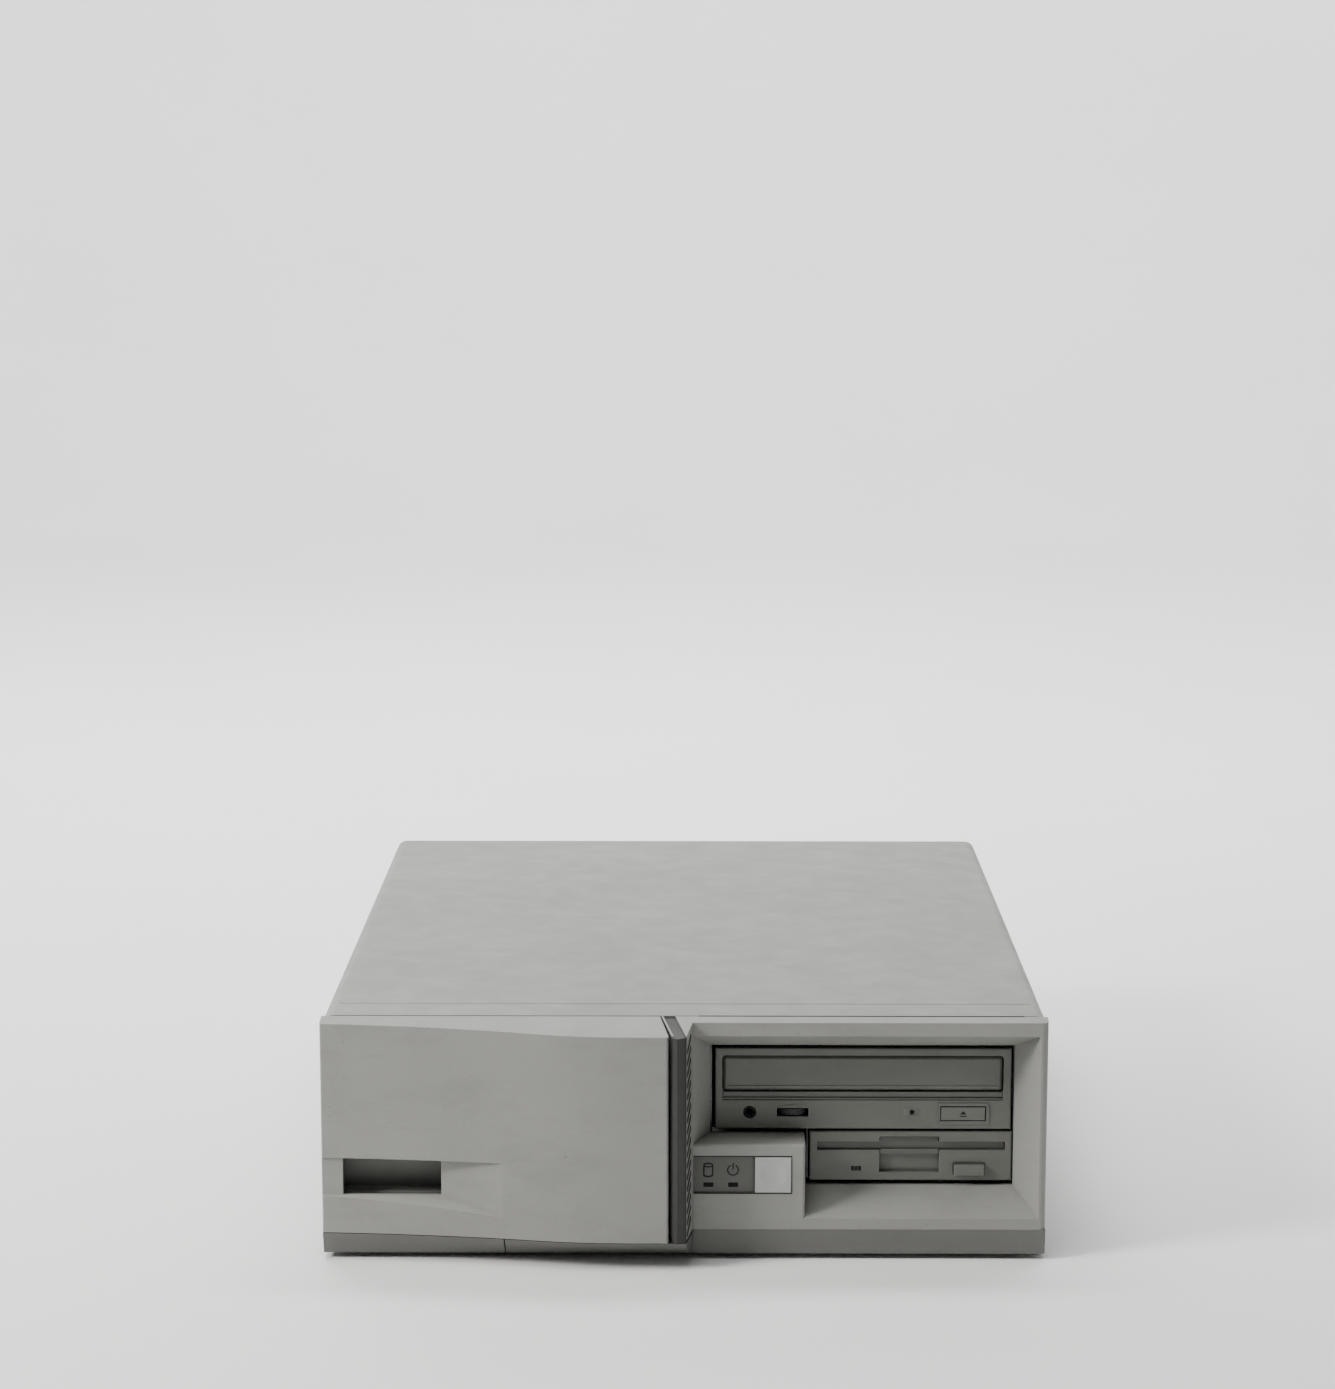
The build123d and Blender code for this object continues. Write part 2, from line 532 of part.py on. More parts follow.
with BuildPart() as cd_bezel:
    block(*CD[:2], BAY_FACE, CD_Y[0], *CD[2:])
    fillet(cd_bezel.faces().sort_by(Axis.Y)[0].edges(), 0.8)
    with BuildSketch(upright(BAY_FACE)):
        left, right, bottom, top = grown(TRAY_FACE, TRAY_GAP)
        with Locations(((left + right) / 2, (bottom + top) / 2)):
            RectangleRounded(right - left, top - bottom, 2.0)
    extrude(amount=-DRIVE_PLATE, mode=Mode.SUBTRACT)
    # the stepped trough under the tray
    for depth, foot, head in ((1.6, 77.6, 82.0), (0.8, 76.4, 78.0)):
        block(TRAY_FACE[0] - 0.4, TRAY_FACE[1] + 0.4, BAY_FACE - 1, BAY_FACE + depth, foot, head,
              mode=Mode.SUBTRACT)
    # the raised rim round the eject key, and the key's hole
    with BuildSketch(upright(BAY_FACE)):
        with Locations(((CD_KEY[0] + CD_KEY[1]) / 2, (CD_KEY[2] + CD_KEY[3]) / 2)):
            RectangleRounded(26.2, 10.8, 3.0)
    extrude(amount=0.5)
    block(CD_KEY[0] - 0.5, CD_KEY[1] + 0.5, BAY_FACE - 2, CD_Y[0], CD_KEY[2] - 0.5, CD_KEY[3] + 0.5,
          mode=Mode.SUBTRACT)
    rod(JACK[0], CD_Y[0] + 1, JACK[1], 3.3, 9, (0, -1, 0), mode=Mode.SUBTRACT)
    block(WHEEL[0] - 7.9, WHEEL[0] + 7.9, BAY_FACE - 1, CD_Y[0], WHEEL[1] - 2.2, WHEEL[1] + 2.2,
          mode=Mode.SUBTRACT)
    rod(CD_LAMP[0], CD_Y[0] + 1, CD_LAMP[1], 1.2, 9, (0, -1, 0), mode=Mode.SUBTRACT)
    rod(131.5, CD_Y[0] + 1, 79.0, 0.8, 9, (0, -1, 0), mode=Mode.SUBTRACT)
save(cd_bezel, "cd_bezel")

CAN = 0.8                                      # thickness of a drive's steel can
cd_x = (CD[0] + CD_SIDE, CD[1] - CD_SIDE)
cd_z = (CD[2] + 0.3, CD[3] - 0.6)

with BuildPart() as cd_case:
    block(*cd_x, *CD_Y, *cd_z)
    block(cd_x[0] + CAN, cd_x[1] - CAN, CD_Y[0], CD_Y[1] - CAN, cd_z[0] + CAN, cd_z[1] - CAN,
          mode=Mode.SUBTRACT)
save(cd_case, "cd_case")

# the deck under the tray: it carries the headphone socket, the motor and the lens carriage's rails
DECK_Z = (cd_z[0] + CAN, cd_z[0] + 4.0)
with BuildPart() as cd_deck:
    block(cd_x[0] + CAN, cd_x[1] - CAN, CD_Y[0], CD_Y[1] - CAN, DECK_Z[0], DECK_Z[0] + 1.6)
    rod(CD_MID, DISC_Y, DECK_Z[0] + 1.6, 11, 10.0)
    rod(CD_MID, DISC_Y, DECK_Z[0] + 6.0, 1.55, 20.0, mode=Mode.SUBTRACT)
    for x in (CD_MID - 20, CD_MID + 20):
        block(x - 2, x + 2, DISC_Y + 14, DISC_Y + 18, DECK_Z[0] + 1.6, 78)
        block(x - 2, x + 2, DISC_Y + 74, DISC_Y + 78, DECK_Z[0] + 1.6, 78)
        rod(x, DISC_Y + 16, 75.5, 1.5, 60, (0, 1, 0))
    for x in (22.0, 152.4):
        block(x, x + 3.2, CD_Y[0] + 18, CD_Y[1] - 30, DECK_Z[0] + 1.6, TRAY_Z[0] - 0.4)
    # the volume control that the wheel turns on
    block(WHEEL[0] - 5, WHEEL[0] + 5, WHEEL_Y - 2.4, WHEEL_Y + 7, DECK_Z[0] + 1.6, WHEEL[1] - 2.0)
    rod(WHEEL[0], WHEEL_Y, WHEEL[1] - 2.0, 1.45, 3.6)
save(cd_deck, "cd_deck")

with BuildPart() as headphone_socket:
    rod(JACK[0], BAY_FACE + 0.6, JACK[1], 3.3, 13.0, (0, 1, 0))
    block(JACK[0] - 5, JACK[0] + 5, CD_Y[0] + 0.4, CD_Y[0] + 9, DECK_Z[0] + 1.6, JACK[1] + 4.5)
    rod(JACK[0], BAY_FACE + 0.5, JACK[1], JACK_R, 12.2, (0, 1, 0), mode=Mode.SUBTRACT)
save(headphone_socket, "headphone_socket")

with BuildPart() as cd_volume_wheel:
    rod(WHEEL[0], WHEEL_Y, WHEEL[1] - 1.6, WHEEL_R, 3.2)
    with Locations((WHEEL[0], WHEEL_Y, WHEEL[1])):
        with PolarLocations(WHEEL_R + 0.1, 36):
            Box(0.7, 0.6, 4, mode=Mode.SUBTRACT)
    rod(WHEEL[0], WHEEL_Y, WHEEL[1] - 6, 1.5, 12, mode=Mode.SUBTRACT)
save(cd_volume_wheel, "cd_volume_wheel")

with BuildPart() as cd_eject_key:
    block(*CD_KEY[:2], BAY_FACE - 0.9, CD_Y[0] + 2, *CD_KEY[2:])
    fillet(cd_eject_key.faces().sort_by(Axis.Y)[0].edges(), 0.5)
    with BuildSketch(upright(BAY_FACE - 0.75)):
        with Locations(((CD_KEY[0] + CD_KEY[1]) / 2, (CD_KEY[2] + CD_KEY[3]) / 2)):
            with Locations((0, 0.5)):
                Triangle(a=3.0, b=2.1, c=2.1)
            with Locations((0, -1.3)):
                Rectangle(3.2, 0.5)
    extrude(amount=1, mode=Mode.SUBTRACT)
save(cd_eject_key, "cd_eject_key")

with BuildPart() as cd_tray:
    block(28.0, 151.4, BAY_FACE + 3.4, BAY_FACE + 156, *TRAY_Z)
    disc = (CD_MID, DISC_Y)
    rod(*disc, TRAY_Z[1] - 2.6, 60.8, 8, mode=Mode.SUBTRACT)
    rod(*disc, TRAY_Z[1] - 3.2, 40.8, 8, mode=Mode.SUBTRACT)
    # the window over the motor and the lens carriage
    block(CD_MID - 21, CD_MID + 21, DISC_Y - 21, DISC_Y + 66, TRAY_Z[0] - 1, TRAY_Z[1] + 1,
          mode=Mode.SUBTRACT)
    for x in (28.0, 151.4):
        block(x - 2, x + 2, BAY_FACE + 8, BAY_FACE + 156, TRAY_Z[0] + 1.4, TRAY_Z[0] + 3.4)
save(cd_tray, "cd_tray")

with BuildPart() as cd_tray_front:
    with BuildSketch(upright(BAY_FACE + 3.4)):
        left, right, bottom, top = TRAY_FACE
        with Locations(((left + right) / 2, (bottom + top) / 2)):
            RectangleRounded(right - left, top - bottom, 1.6)
    extrude(amount=3.4 - 0.2)
    chamfer(cd_tray_front.faces().sort_by(Axis.Y)[0].edges().filter_by(Axis.X).sort_by(Axis.Z)[0], 1.2)
    fillet(cd_tray_front.faces().sort_by(Axis.Y)[0].edges().filter_by(Axis.X).sort_by(Axis.Z)[-1], 0.8)
save(cd_tray_front, "cd_tray_front")

with BuildPart() as cd_spindle:
    rod(CD_MID, DISC_Y, DECK_Z[0] + 7.0, 1.5, 9.5)
    rod(CD_MID, DISC_Y, DECK_Z[0] + 12.2, 13.5, 2.4)
    rod(CD_MID, DISC_Y, DECK_Z[0] + 14.6, 7.2, 4.6)
    chamfer(cd_spindle.edges().group_by(Axis.Z)[-1], 1.4)
save(cd_spindle, "cd_spindle")

LENS_Y = DISC_Y + 22.0
with BuildPart() as cd_lens_carriage:
    block(CD_MID - 25, CD_MID + 25, LENS_Y, LENS_Y + 14, 73.0, 79.0)
    for x in (CD_MID - 20, CD_MID + 20):
        rod(x, LENS_Y - 1, 75.5, 1.56, 16, (0, 1, 0), mode=Mode.SUBTRACT)
    rod(CD_MID, LENS_Y + 7, 79.0, 3.4, 1.6)
    rod(CD_MID, LENS_Y + 7, 80.6, 2.2, 0.7)
save(cd_lens_carriage, "cd_lens_carriage")

# ================================================================ diskette drive
FD = (FD_LEFT, FD_LEFT + FD_W, FD_FOOT, FD_FOOT + FD_H)
FD_Y = (BAY_FACE + DRIVE_PLATE, BAY_FACE + DRIVE_PLATE + FD_BODY)
FD_SLOT = (66.8, 160.8, 50.6, 55.2)
THUMB = (97.9, 127.9, 39.2, 57.8)              # the hollow for a thumb, across the slot
FD_LAMP = (86.3, 41.2)
FD_KEY = (135.2, 150.4, 38.2, 43.8)
FLAP_Z = 57.0                                  # the flap's hinge line
FLAP_Y = BAY_FACE + 3.0
FLAP_PIN_R, FLAP_PIN_IN = 0.7, 1.6             # the flap's pin, and its reach into each bearing

with BuildPart() as floppy_bezel:
    block(*FD[:2], BAY_FACE, FD_Y[0], *FD[2:])
    fillet(floppy_bezel.faces().sort_by(Axis.Y)[0].edges(), 0.8)
    block(*FD_SLOT[:2], BAY_FACE - 1, FD_Y[0], *FD_SLOT[2:], mode=Mode.SUBTRACT)
    block(*THUMB[:2], BAY_FACE - 1, BAY_FACE + 3.0, THUMB[2], 49, mode=Mode.SUBTRACT)
    block(*THUMB[:2], BAY_FACE - 1, FD_Y[0], 48.4, THUMB[3], mode=Mode.SUBTRACT)
    block(*grown(FD_KEY, 0.4)[:2], BAY_FACE - 1, FD_Y[0], *grown(FD_KEY, 0.4)[2:], mode=Mode.SUBTRACT)
    block(FD_LAMP[0] - 2.5, FD_LAMP[0] + 2.5, BAY_FACE - 1, FD_Y[0], FD_LAMP[1] - 1.2, FD_LAMP[1] + 1.2,
          mode=Mode.SUBTRACT)
    # room behind the face for the flap to swing up, and a bearing for its pin at each end
    block(*FD_SLOT[:2], BAY_FACE + 2.0, FD_Y[0], FD_SLOT[3], FLAP_Z + 1.4, mode=Mode.SUBTRACT)
    rod(FD_SLOT[0] - FLAP_PIN_IN, FLAP_Y, FLAP_Z, FLAP_PIN_R + 0.05,
        FD_SLOT[1] - FD_SLOT[0] + 2 * FLAP_PIN_IN, (1, 0, 0), mode=Mode.SUBTRACT)
save(floppy_bezel, "floppy_bezel")

with BuildPart() as lamps:
    for x in LAMP_X:
        block(x - 2.5, x + 2.5, FRONT + 1.2, FRONT + 9, LAMP_Z - 1.2, LAMP_Z + 1.2)
    rod(CD_LAMP[0], BAY_FACE + 0.3, CD_LAMP[1], 1.15, 9, (0, 1, 0))
    block(FD_LAMP[0] - 2.5, FD_LAMP[0] + 2.5, BAY_FACE + 0.5, FD_Y[0] + 3, FD_LAMP[1] - 1.2, FD_LAMP[1] + 1.2)
save(lamps, "lamps")

with BuildPart() as floppy_flap:
    block(FD_SLOT[0] + 0.4, FD_SLOT[1] - 0.4, BAY_FACE + 2.2, BAY_FACE + 3.6,
          FD_SLOT[2] + 0.3, FD_SLOT[3] - 0.3)
    block(THUMB[0] + 0.4, THUMB[1] - 0.4, BAY_FACE + 2.2, BAY_FACE + 3.6, 48.8, FLAP_Z)
    block(THUMB[0] + 0.4, THUMB[1] - 0.4, BAY_FACE + 0.5, BAY_FACE + 2.2, 48.8, 51.0)
    rod(FD_SLOT[0] - FLAP_PIN_IN + 0.2, FLAP_Y, FLAP_Z, FLAP_PIN_R,
        FD_SLOT[1] - FD_SLOT[0] + 2 * FLAP_PIN_IN - 0.4, (1, 0, 0))
save(floppy_flap, "floppy_flap")

with BuildPart() as floppy_eject_key:
    block(*FD_KEY[:2], BAY_FACE - 3.2, FD_Y[0] + 6, *FD_KEY[2:])
    fillet(floppy_eject_key.faces().sort_by(Axis.Y)[0].edges(), 0.5)
save(floppy_eject_key, "floppy_eject_key")

fd_x = (FD[0] + 0.2, FD[1] - 0.2)
fd_z = (FD[2] + 0.2, FD[3] - 0.4)
with BuildPart() as floppy_case:
    block(*fd_x, *FD_Y, *fd_z)
    block(fd_x[0] + CAN, fd_x[1] - CAN, FD_Y[0], FD_Y[1] - CAN, fd_z[0] + CAN, fd_z[1] - CAN,
          mode=Mode.SUBTRACT)
    # the fixed deck under the disk, with the motor's bearing
    block(fd_x[0] + CAN, fd_x[1] - CAN, FD_Y[0] + 14, FD_Y[1] - CAN, fd_z[0] + CAN, fd_z[0] + 2.4)
    rod(113.5, FD_Y[0] + 62, fd_z[0] + 2.4, 8, 6.0)
    rod(113.5, FD_Y[0] + 62, fd_z[0] + 4.0, 1.55, 20, mode=Mode.SUBTRACT)
save(floppy_case, "floppy_case")

with BuildPart() as floppy_spindle:
    rod(113.5, FD_Y[0] + 62, fd_z[0] + 4.4, 1.5, 6)
    rod(113.5, FD_Y[0] + 62, fd_z[0] + 8.8, 13, 1.6)
save(floppy_spindle, "floppy_spindle")


# ================================================================ drive cage
CAGE_X = (cd_x[0] - 2.6, FD[1] + 0.2)          # inner faces of the cage's two walls
CAGE_Y = (WALL_Y[1], FRONT + 226.0)

with BuildPart() as drive_cage:
    block(CAGE_X[0] - SHEET, CAGE_X[0], *CAGE_Y, FLOOR, 104)
    block(CAGE_X[1], CAGE_X[1] + SHEET, *CAGE_Y, FLOOR, 104)
    block(*CAGE_X, CAGE_Y[0] + 4, CAGE_Y[1], FD[3] + 0.05, CD[2] + 0.25)
    block(FD[0] - 1.4, CAGE_X[1], CAGE_Y[0] + 4, FD_Y[1] + 4, FD[2] - 1.0, FD[2] + 0.1)
    block(FD[0] - 1.4, FD[0] - 0.4, CAGE_Y[0] + 4, FD_Y[1] + 4, FD[2] + 0.1, FD[3] + 0.05)
    block(CAGE_X[0] - 12, CAGE_X[0] - SHEET, CAGE_Y[0] + 10, BOARD_Y[0] - 4, FLOOR, FLOOR + SHEET)
    block(CAGE_X[0] - 20, CAGE_X[0] + 1, BOARD_Y[0] - 4, CAGE_Y[1] + 1, 0, 46, mode=Mode.SUBTRACT)
    with BuildSketch(Plane.YZ.offset(CAGE_X[0] - 5)):
        with Locations((FRONT + 80, 30)):
            with GridLocations(26, 20, 3, 2):
                SlotOverall(20, 8)
    extrude(amount=10, mode=Mode.SUBTRACT)
save(drive_cage, "drive_cage")

with BuildPart() as cd_rails:
    for low, high in ((CAGE_X[0], cd_x[0]), (cd_x[1], CAGE_X[1])):
        block(low, high, CD_Y[0] + 20, CD_Y[0] + 170, CD[2] + 6, CD[2] + 16)
save(cd_rails, "cd_rails")

# ================================================================ power supply
psu_x, psu_y, psu_z = PSU[:2], PSU[2:4], PSU[4:]
FAN = (141.8, 47.0)
FAN_BORE = 27.5
INLET = (97.0, 27.0)
ROCKER = (97.0, 56.0)
SELECTOR = (97.0, 77.0)
psu_back = psu_y[1]

with BuildPart() as psu_case:
    block(*psu_x, *psu_y, *psu_z)
    block(psu_x[0] + SHEET, psu_x[1] - SHEET, psu_y[0] + SHEET, psu_y[1] - SHEET,
          psu_z[0] + SHEET, psu_z[1] - SHEET, mode=Mode.SUBTRACT)
    rod(FAN[0], psu_back + 1, FAN[1], FAN_BORE, 4, (0, -1, 0), mode=Mode.SUBTRACT)
    block(INLET[0] - 13.6, INLET[0] + 13.6, psu_back - 3, psu_back + 1, INLET[1] - 10, INLET[1] + 10,
          mode=Mode.SUBTRACT)
    block(ROCKER[0] - 6.5, ROCKER[0] + 6.5, psu_back - 3, psu_back + 1, ROCKER[1] - 9.5, ROCKER[1] + 9.5,
          mode=Mode.SUBTRACT)
    block(SELECTOR[0] - 9, SELECTOR[0] + 9, psu_back - 3, psu_back + 1, SELECTOR[1] - 4.5, SELECTOR[1] + 4.5,
          mode=Mode.SUBTRACT)
    with BuildSketch(upright(psu_y[0])):
        with Locations(FAN):
            with GridLocations(7, 22, 8, 3):
                SlotOverall(18, 3, rotation=90)
    extrude(amount=-SHEET, mode=Mode.SUBTRACT)
    rod(84, psu_y[0] - 1, 40, 6, 4, (0, 1, 0), mode=Mode.SUBTRACT)
save(psu_case, "psu_case")

def turned(x, y, z, angle):
    """A plane that faces the rear at a point, with its own X axis turned from the part's X by an angle."""
    turn = math.radians(angle)
    return Plane(origin=(x, y, z), z_dir=(0, 1, 0), x_dir=(math.cos(turn), 0, math.sin(turn)))


with BuildPart() as psu_fan_frame:
    block(FAN[0] - 30, FAN[0] + 30, psu_back - SHEET - 20, psu_back - SHEET, FAN[1] - 30, FAN[1] + 30)
    fillet(psu_fan_frame.edges().filter_by(Axis.Y), 3)
    rod(FAN[0], psu_back, FAN[1], 28.5, 30, (0, -1, 0), mode=Mode.SUBTRACT)
    rod(FAN[0], psu_back - SHEET - 20, FAN[1], 11.5, 3, (0, 1, 0))
    for angle in (45, 135, 225, 315):
        with Locations(turned(FAN[0], psu_back - SHEET - 20, FAN[1], angle).location):
            with Locations((20, 0, 1.5)):
                Box(19, 3, 3)
    rod(FAN[0], psu_back - SHEET - 17, FAN[1], 2.5, 10, (0, 1, 0))
save(psu_fan_frame, "psu_fan_frame")


def fan_rotor(x, y, z, hub, tip, depth, bore, direction, blades=7):
    """A hub with a bore from behind and twisted blades; it starts at a point and runs in a direction."""
    across = (1, 0, 0)
    plane = Plane(origin=(x, y, z), z_dir=direction, x_dir=across)
    with BuildPart() as rotor:
        with BuildSketch(plane):
            Circle(hub)
        extrude(amount=depth)
        for blade in range(blades):
            turn = 2 * math.pi * blade / blades
            outward = plane.x_dir * math.cos(turn) + plane.y_dir * math.sin(turn)
            sideways = plane.y_dir * math.cos(turn) - plane.x_dir * math.sin(turn)
            with BuildPart(mode=Mode.PRIVATE) as one:
                for reach, pitch, chord in ((hub - 1, 52, 0.8 * depth), (0.95 * tip, 32, 1.05 * depth)):
                    station = Plane(
                        origin=plane.origin + outward * reach + plane.z_dir * (depth / 2),
                        x_dir=sideways, z_dir=outward,
                    )
                    with BuildSketch(station):
                        Rectangle(chord, 1.3, rotation=pitch)
                loft()
            add(one.part)
        with BuildSketch(plane):
            Circle(bore)
        extrude(amount=depth - 1.5, mode=Mode.SUBTRACT)
    return rotor.part


with BuildPart() as psu_fan_rotor:
    add(fan_rotor(FAN[0], psu_back - SHEET - 16.4, FAN[1], 10.5, 27.6, 14.0, 2.56, (0, 1, 0)))
save(psu_fan_rotor, "psu_fan_rotor")

with BuildPart() as psu_fan_guard:
    for radius in (9, 15, 21, 27):
        with Locations(turned(FAN[0], REAR + 1.4, FAN[1], 0).location):
            Torus(radius, 0.8)
    for angle in (0, 90):
        with Locations(turned(FAN[0], REAR + 0.8, FAN[1], angle).location):
            Box(60, 1.6, 1.6)
save(psu_fan_guard, "psu_fan_guard")

WELL_HALF = (12.0, 8.2)                        # half the width and height of the inlet's well
WELL_CORNER = (7.4, 3.4)                       # where its cut upper corners start, across and up
INLET_PINS = ((-7, -2), (0, 2), (7, -2))
with BuildPart() as mains_inlet:
    block(INLET[0] - 13.5, INLET[0] + 13.5, psu_back - 22, psu_back + 0.5, INLET[1] - 9.9, INLET[1] + 9.9)
    block(INLET[0] - 15.5, INLET[0] + 15.5, psu_back, psu_back + 2.6, INLET[1] - 12, INLET[1] + 12)
    with BuildSketch(upright(psu_back + 2.6)):
        with Locations(INLET):
            Polygon(
                (-WELL_HALF[0], -WELL_HALF[1]), (WELL_HALF[0], -WELL_HALF[1]),
                (WELL_HALF[0], WELL_CORNER[1]), (WELL_CORNER[0], WELL_HALF[1]),
                (-WELL_CORNER[0], WELL_HALF[1]), (-WELL_HALF[0], WELL_CORNER[1]),
                align=None,
            )
    extrude(amount=20, mode=Mode.SUBTRACT)
    for across, up in INLET_PINS:
        pin_x, pin_z = INLET[0] + across, INLET[1] + up
        block(pin_x - 1, pin_x + 1, psu_back - 18, psu_back - 1.5, pin_z - 2, pin_z + 2)
save(mains_inlet, "mains_inlet")

ROCKER_TILT = 9
ROCKER_OUTLINE = [(-3, -3), (1.0, -7.4), (5.4, -7.2), (4.0, 0), (5.4, 7.2), (1.0, 7.4), (-3, 3)]
with BuildPart() as switch_frames:
    block(ROCKER[0] - 8, ROCKER[0] + 8, psu_back, psu_back + 1.8, ROCKER[1] - 11, ROCKER[1] + 11)
    block(ROCKER[0] - 6.4, ROCKER[0] + 6.4, psu_back - 14, psu_back, ROCKER[1] - 9.4, ROCKER[1] + 9.4)
    block(ROCKER[0] - 5.3, ROCKER[0] + 5.3, psu_back - 12, psu_back + 3, ROCKER[1] - 8.2, ROCKER[1] + 8.2,
          mode=Mode.SUBTRACT)
    rod(ROCKER[0] - 6, psu_back - 3.0, ROCKER[1], 1.0, 12, (1, 0, 0))
    block(SELECTOR[0] - 8.9, SELECTOR[0] + 8.9, psu_back - 9, psu_back - 0.4,
          SELECTOR[1] - 4.4, SELECTOR[1] + 4.4)
    block(SELECTOR[0] - 7, SELECTOR[0] + 7, psu_back - 3.6, psu_back, SELECTOR[1] - 2.7, SELECTOR[1] + 2.7,
          mode=Mode.SUBTRACT)
save(switch_frames, "switch_frames")

with BuildPart() as rocker_key:
    tilt = math.radians(ROCKER_TILT)
    rocker_plane = Plane(
        origin=(ROCKER[0] - 5.0, psu_back - 3.0, ROCKER[1]),
        z_dir=(1, 0, 0),
        x_dir=(0, math.cos(tilt), math.sin(tilt)),
    )
    with BuildSketch(rocker_plane):
        with BuildLine():
            Polyline(*ROCKER_OUTLINE, close=True)
        make_face()
        Circle(1.06, mode=Mode.SUBTRACT)
    extrude(amount=10)
save(rocker_key, "rocker_key")

with BuildPart() as selector_slider:
    block(SELECTOR[0] - 6.8, SELECTOR[0] + 1.6, psu_back - 3.5, psu_back - 0.8,
          SELECTOR[1] - 2.5, SELECTOR[1] + 2.5)
    block(SELECTOR[0] - 3.4, SELECTOR[0] - 1.8, psu_back - 2, psu_back, SELECTOR[1] - 3, SELECTOR[1] + 3,
          mode=Mode.SUBTRACT)
save(selector_slider, "selector_slider")

with BuildPart() as psu_parts:
    block(psu_x[0] + 4, psu_x[1] - 4, psu_y[0] + 4, psu_back - 24, psu_z[0] + 7, psu_z[0] + 8.6)
    block(100, 140, psu_y[0] + 70, psu_y[0] + 104, psu_z[0] + 8.6, psu_z[0] + 44)
    for x in (90, 118):
        rod(x, psu_y[0] + 124, psu_z[0] + 8.6, 11, 42)
    for x in (112, 128, 144):
        rod(x, psu_y[0] + 30, psu_z[0] + 8.6, 6, 26)
    for x in (86, 160):
        block(x, x + 3, psu_y[0] + 40, psu_y[0] + 118, psu_z[0] + 8.6, psu_z[0] + 62)
save(psu_parts, "psu_parts")

# ================================================================ main board
with BuildPart() as main_board:
    block(*BOARD_X, *BOARD_Y, BOARD_Z, BOARD_TOP)
    with Locations([(x, y, BOARD_TOP) for x, y in STANDOFFS]):
        Hole(1.9)
save(main_board, "main_board")

with BuildPart() as board_screws:
    for x, y in STANDOFFS:
        rod(x, y, BOARD_Z, 1.5, 1.7)
        rod(x, y, BOARD_TOP, 3.1, 1.8)
        block(x - 2, x + 2, y - 0.4, y + 0.4, BOARD_TOP + 1.0, BOARD_TOP + 3, mode=Mode.SUBTRACT)
        block(x - 0.4, x + 0.4, y - 2, y + 2, BOARD_TOP + 1.0, BOARD_TOP + 3, mode=Mode.SUBTRACT)
save(board_screws, "board_screws")

CPU = (-110.0, 72.0)
with BuildPart() as processor:
    block(CPU[0] - 24.8, CPU[0] + 24.8, CPU[1] - 24.8, CPU[1] + 24.8, BOARD_TOP + 4, BOARD_TOP + 7)
save(processor, "processor")

SINK_Z = BOARD_TOP + 7
with BuildPart() as heat_sink:
    block(CPU[0] - 25, CPU[0] + 25, CPU[1] - 25, CPU[1] + 25, SINK_Z, SINK_Z + 18)
    for step in range(8):
        x = CPU[0] - 22.6 + 6.0 * step
        block(x, x + 3.2, CPU[1] - 26, CPU[1] + 26, SINK_Z + 4, SINK_Z + 19, mode=Mode.SUBTRACT)
save(heat_sink, "heat_sink")

with BuildPart() as cpu_fan_frame:
    block(CPU[0] - 25, CPU[0] + 25, CPU[1] - 25, CPU[1] + 25, SINK_Z + 18, SINK_Z + 28)
    rod(*CPU, SINK_Z + 15, 23.6, 16, mode=Mode.SUBTRACT)
    rod(*CPU, SINK_Z + 18, 10, 1.6)
    for x, y in ((1, 0), (0, 1)):
        block(CPU[0] - 24 * x - 1.2, CPU[0] + 24 * x + 1.2, CPU[1] - 24 * y - 1.2, CPU[1] + 24 * y + 1.2,
              SINK_Z + 18, SINK_Z + 19.6)
    rod(*CPU, SINK_Z + 19.6, 1.5, 5)
save(cpu_fan_frame, "cpu_fan_frame")

with BuildPart() as cpu_fan_rotor:
    add(fan_rotor(*CPU, SINK_Z + 20.2, 9.5, 22.8, 7.4, 1.56, (0, 0, 1)))
save(cpu_fan_rotor, "cpu_fan_rotor")

RISER_X = -14.0
RISER_Y = (62.0, 200.0)
MODULES_Y = (BOARD_Y[0] + 40, BOARD_Y[0] + 148)
MODULES_X = [-58.0, -48.0, -38.0]
with BuildPart() as board_sockets:
    block(CPU[0] - 30, CPU[0] + 26, CPU[1] - 26, CPU[1] + 30, BOARD_TOP, BOARD_TOP + 4)
    rod(CPU[0] + 28, CPU[1] - 24, BOARD_TOP + 1.5, 0.9, 52, (0, 1, 0))
    block(CPU[0] + 26, CPU[0] + 28, CPU[1] - 20, CPU[1] - 14, BOARD_TOP, BOARD_TOP + 3)
    for x in MODULES_X:
        block(x - 3.2, x + 3.2, MODULES_Y[0] - 4, MODULES_Y[1] + 4, BOARD_TOP, BOARD_TOP + 7)
        block(x - 0.75, x + 0.75, *MODULES_Y, BOARD_TOP + 3, BOARD_TOP + 8, mode=Mode.SUBTRACT)
        for y in (MODULES_Y[0] - 4, MODULES_Y[1]):
            block(x - 2, x + 2, y + 0.3, y + 3.7, BOARD_TOP + 7, BOARD_TOP + 16)
    # the riser's socket
    block(RISER_X - 4, RISER_X + 5.6, *RISER_Y, BOARD_TOP, BOARD_TOP + 12)
    block(RISER_X - 0.1, RISER_X + 1.7, RISER_Y[0] + 4, RISER_Y[1] - 4, BOARD_TOP + 4, BOARD_TOP + 13,
          mode=Mode.SUBTRACT)
save(board_sockets, "board_sockets")

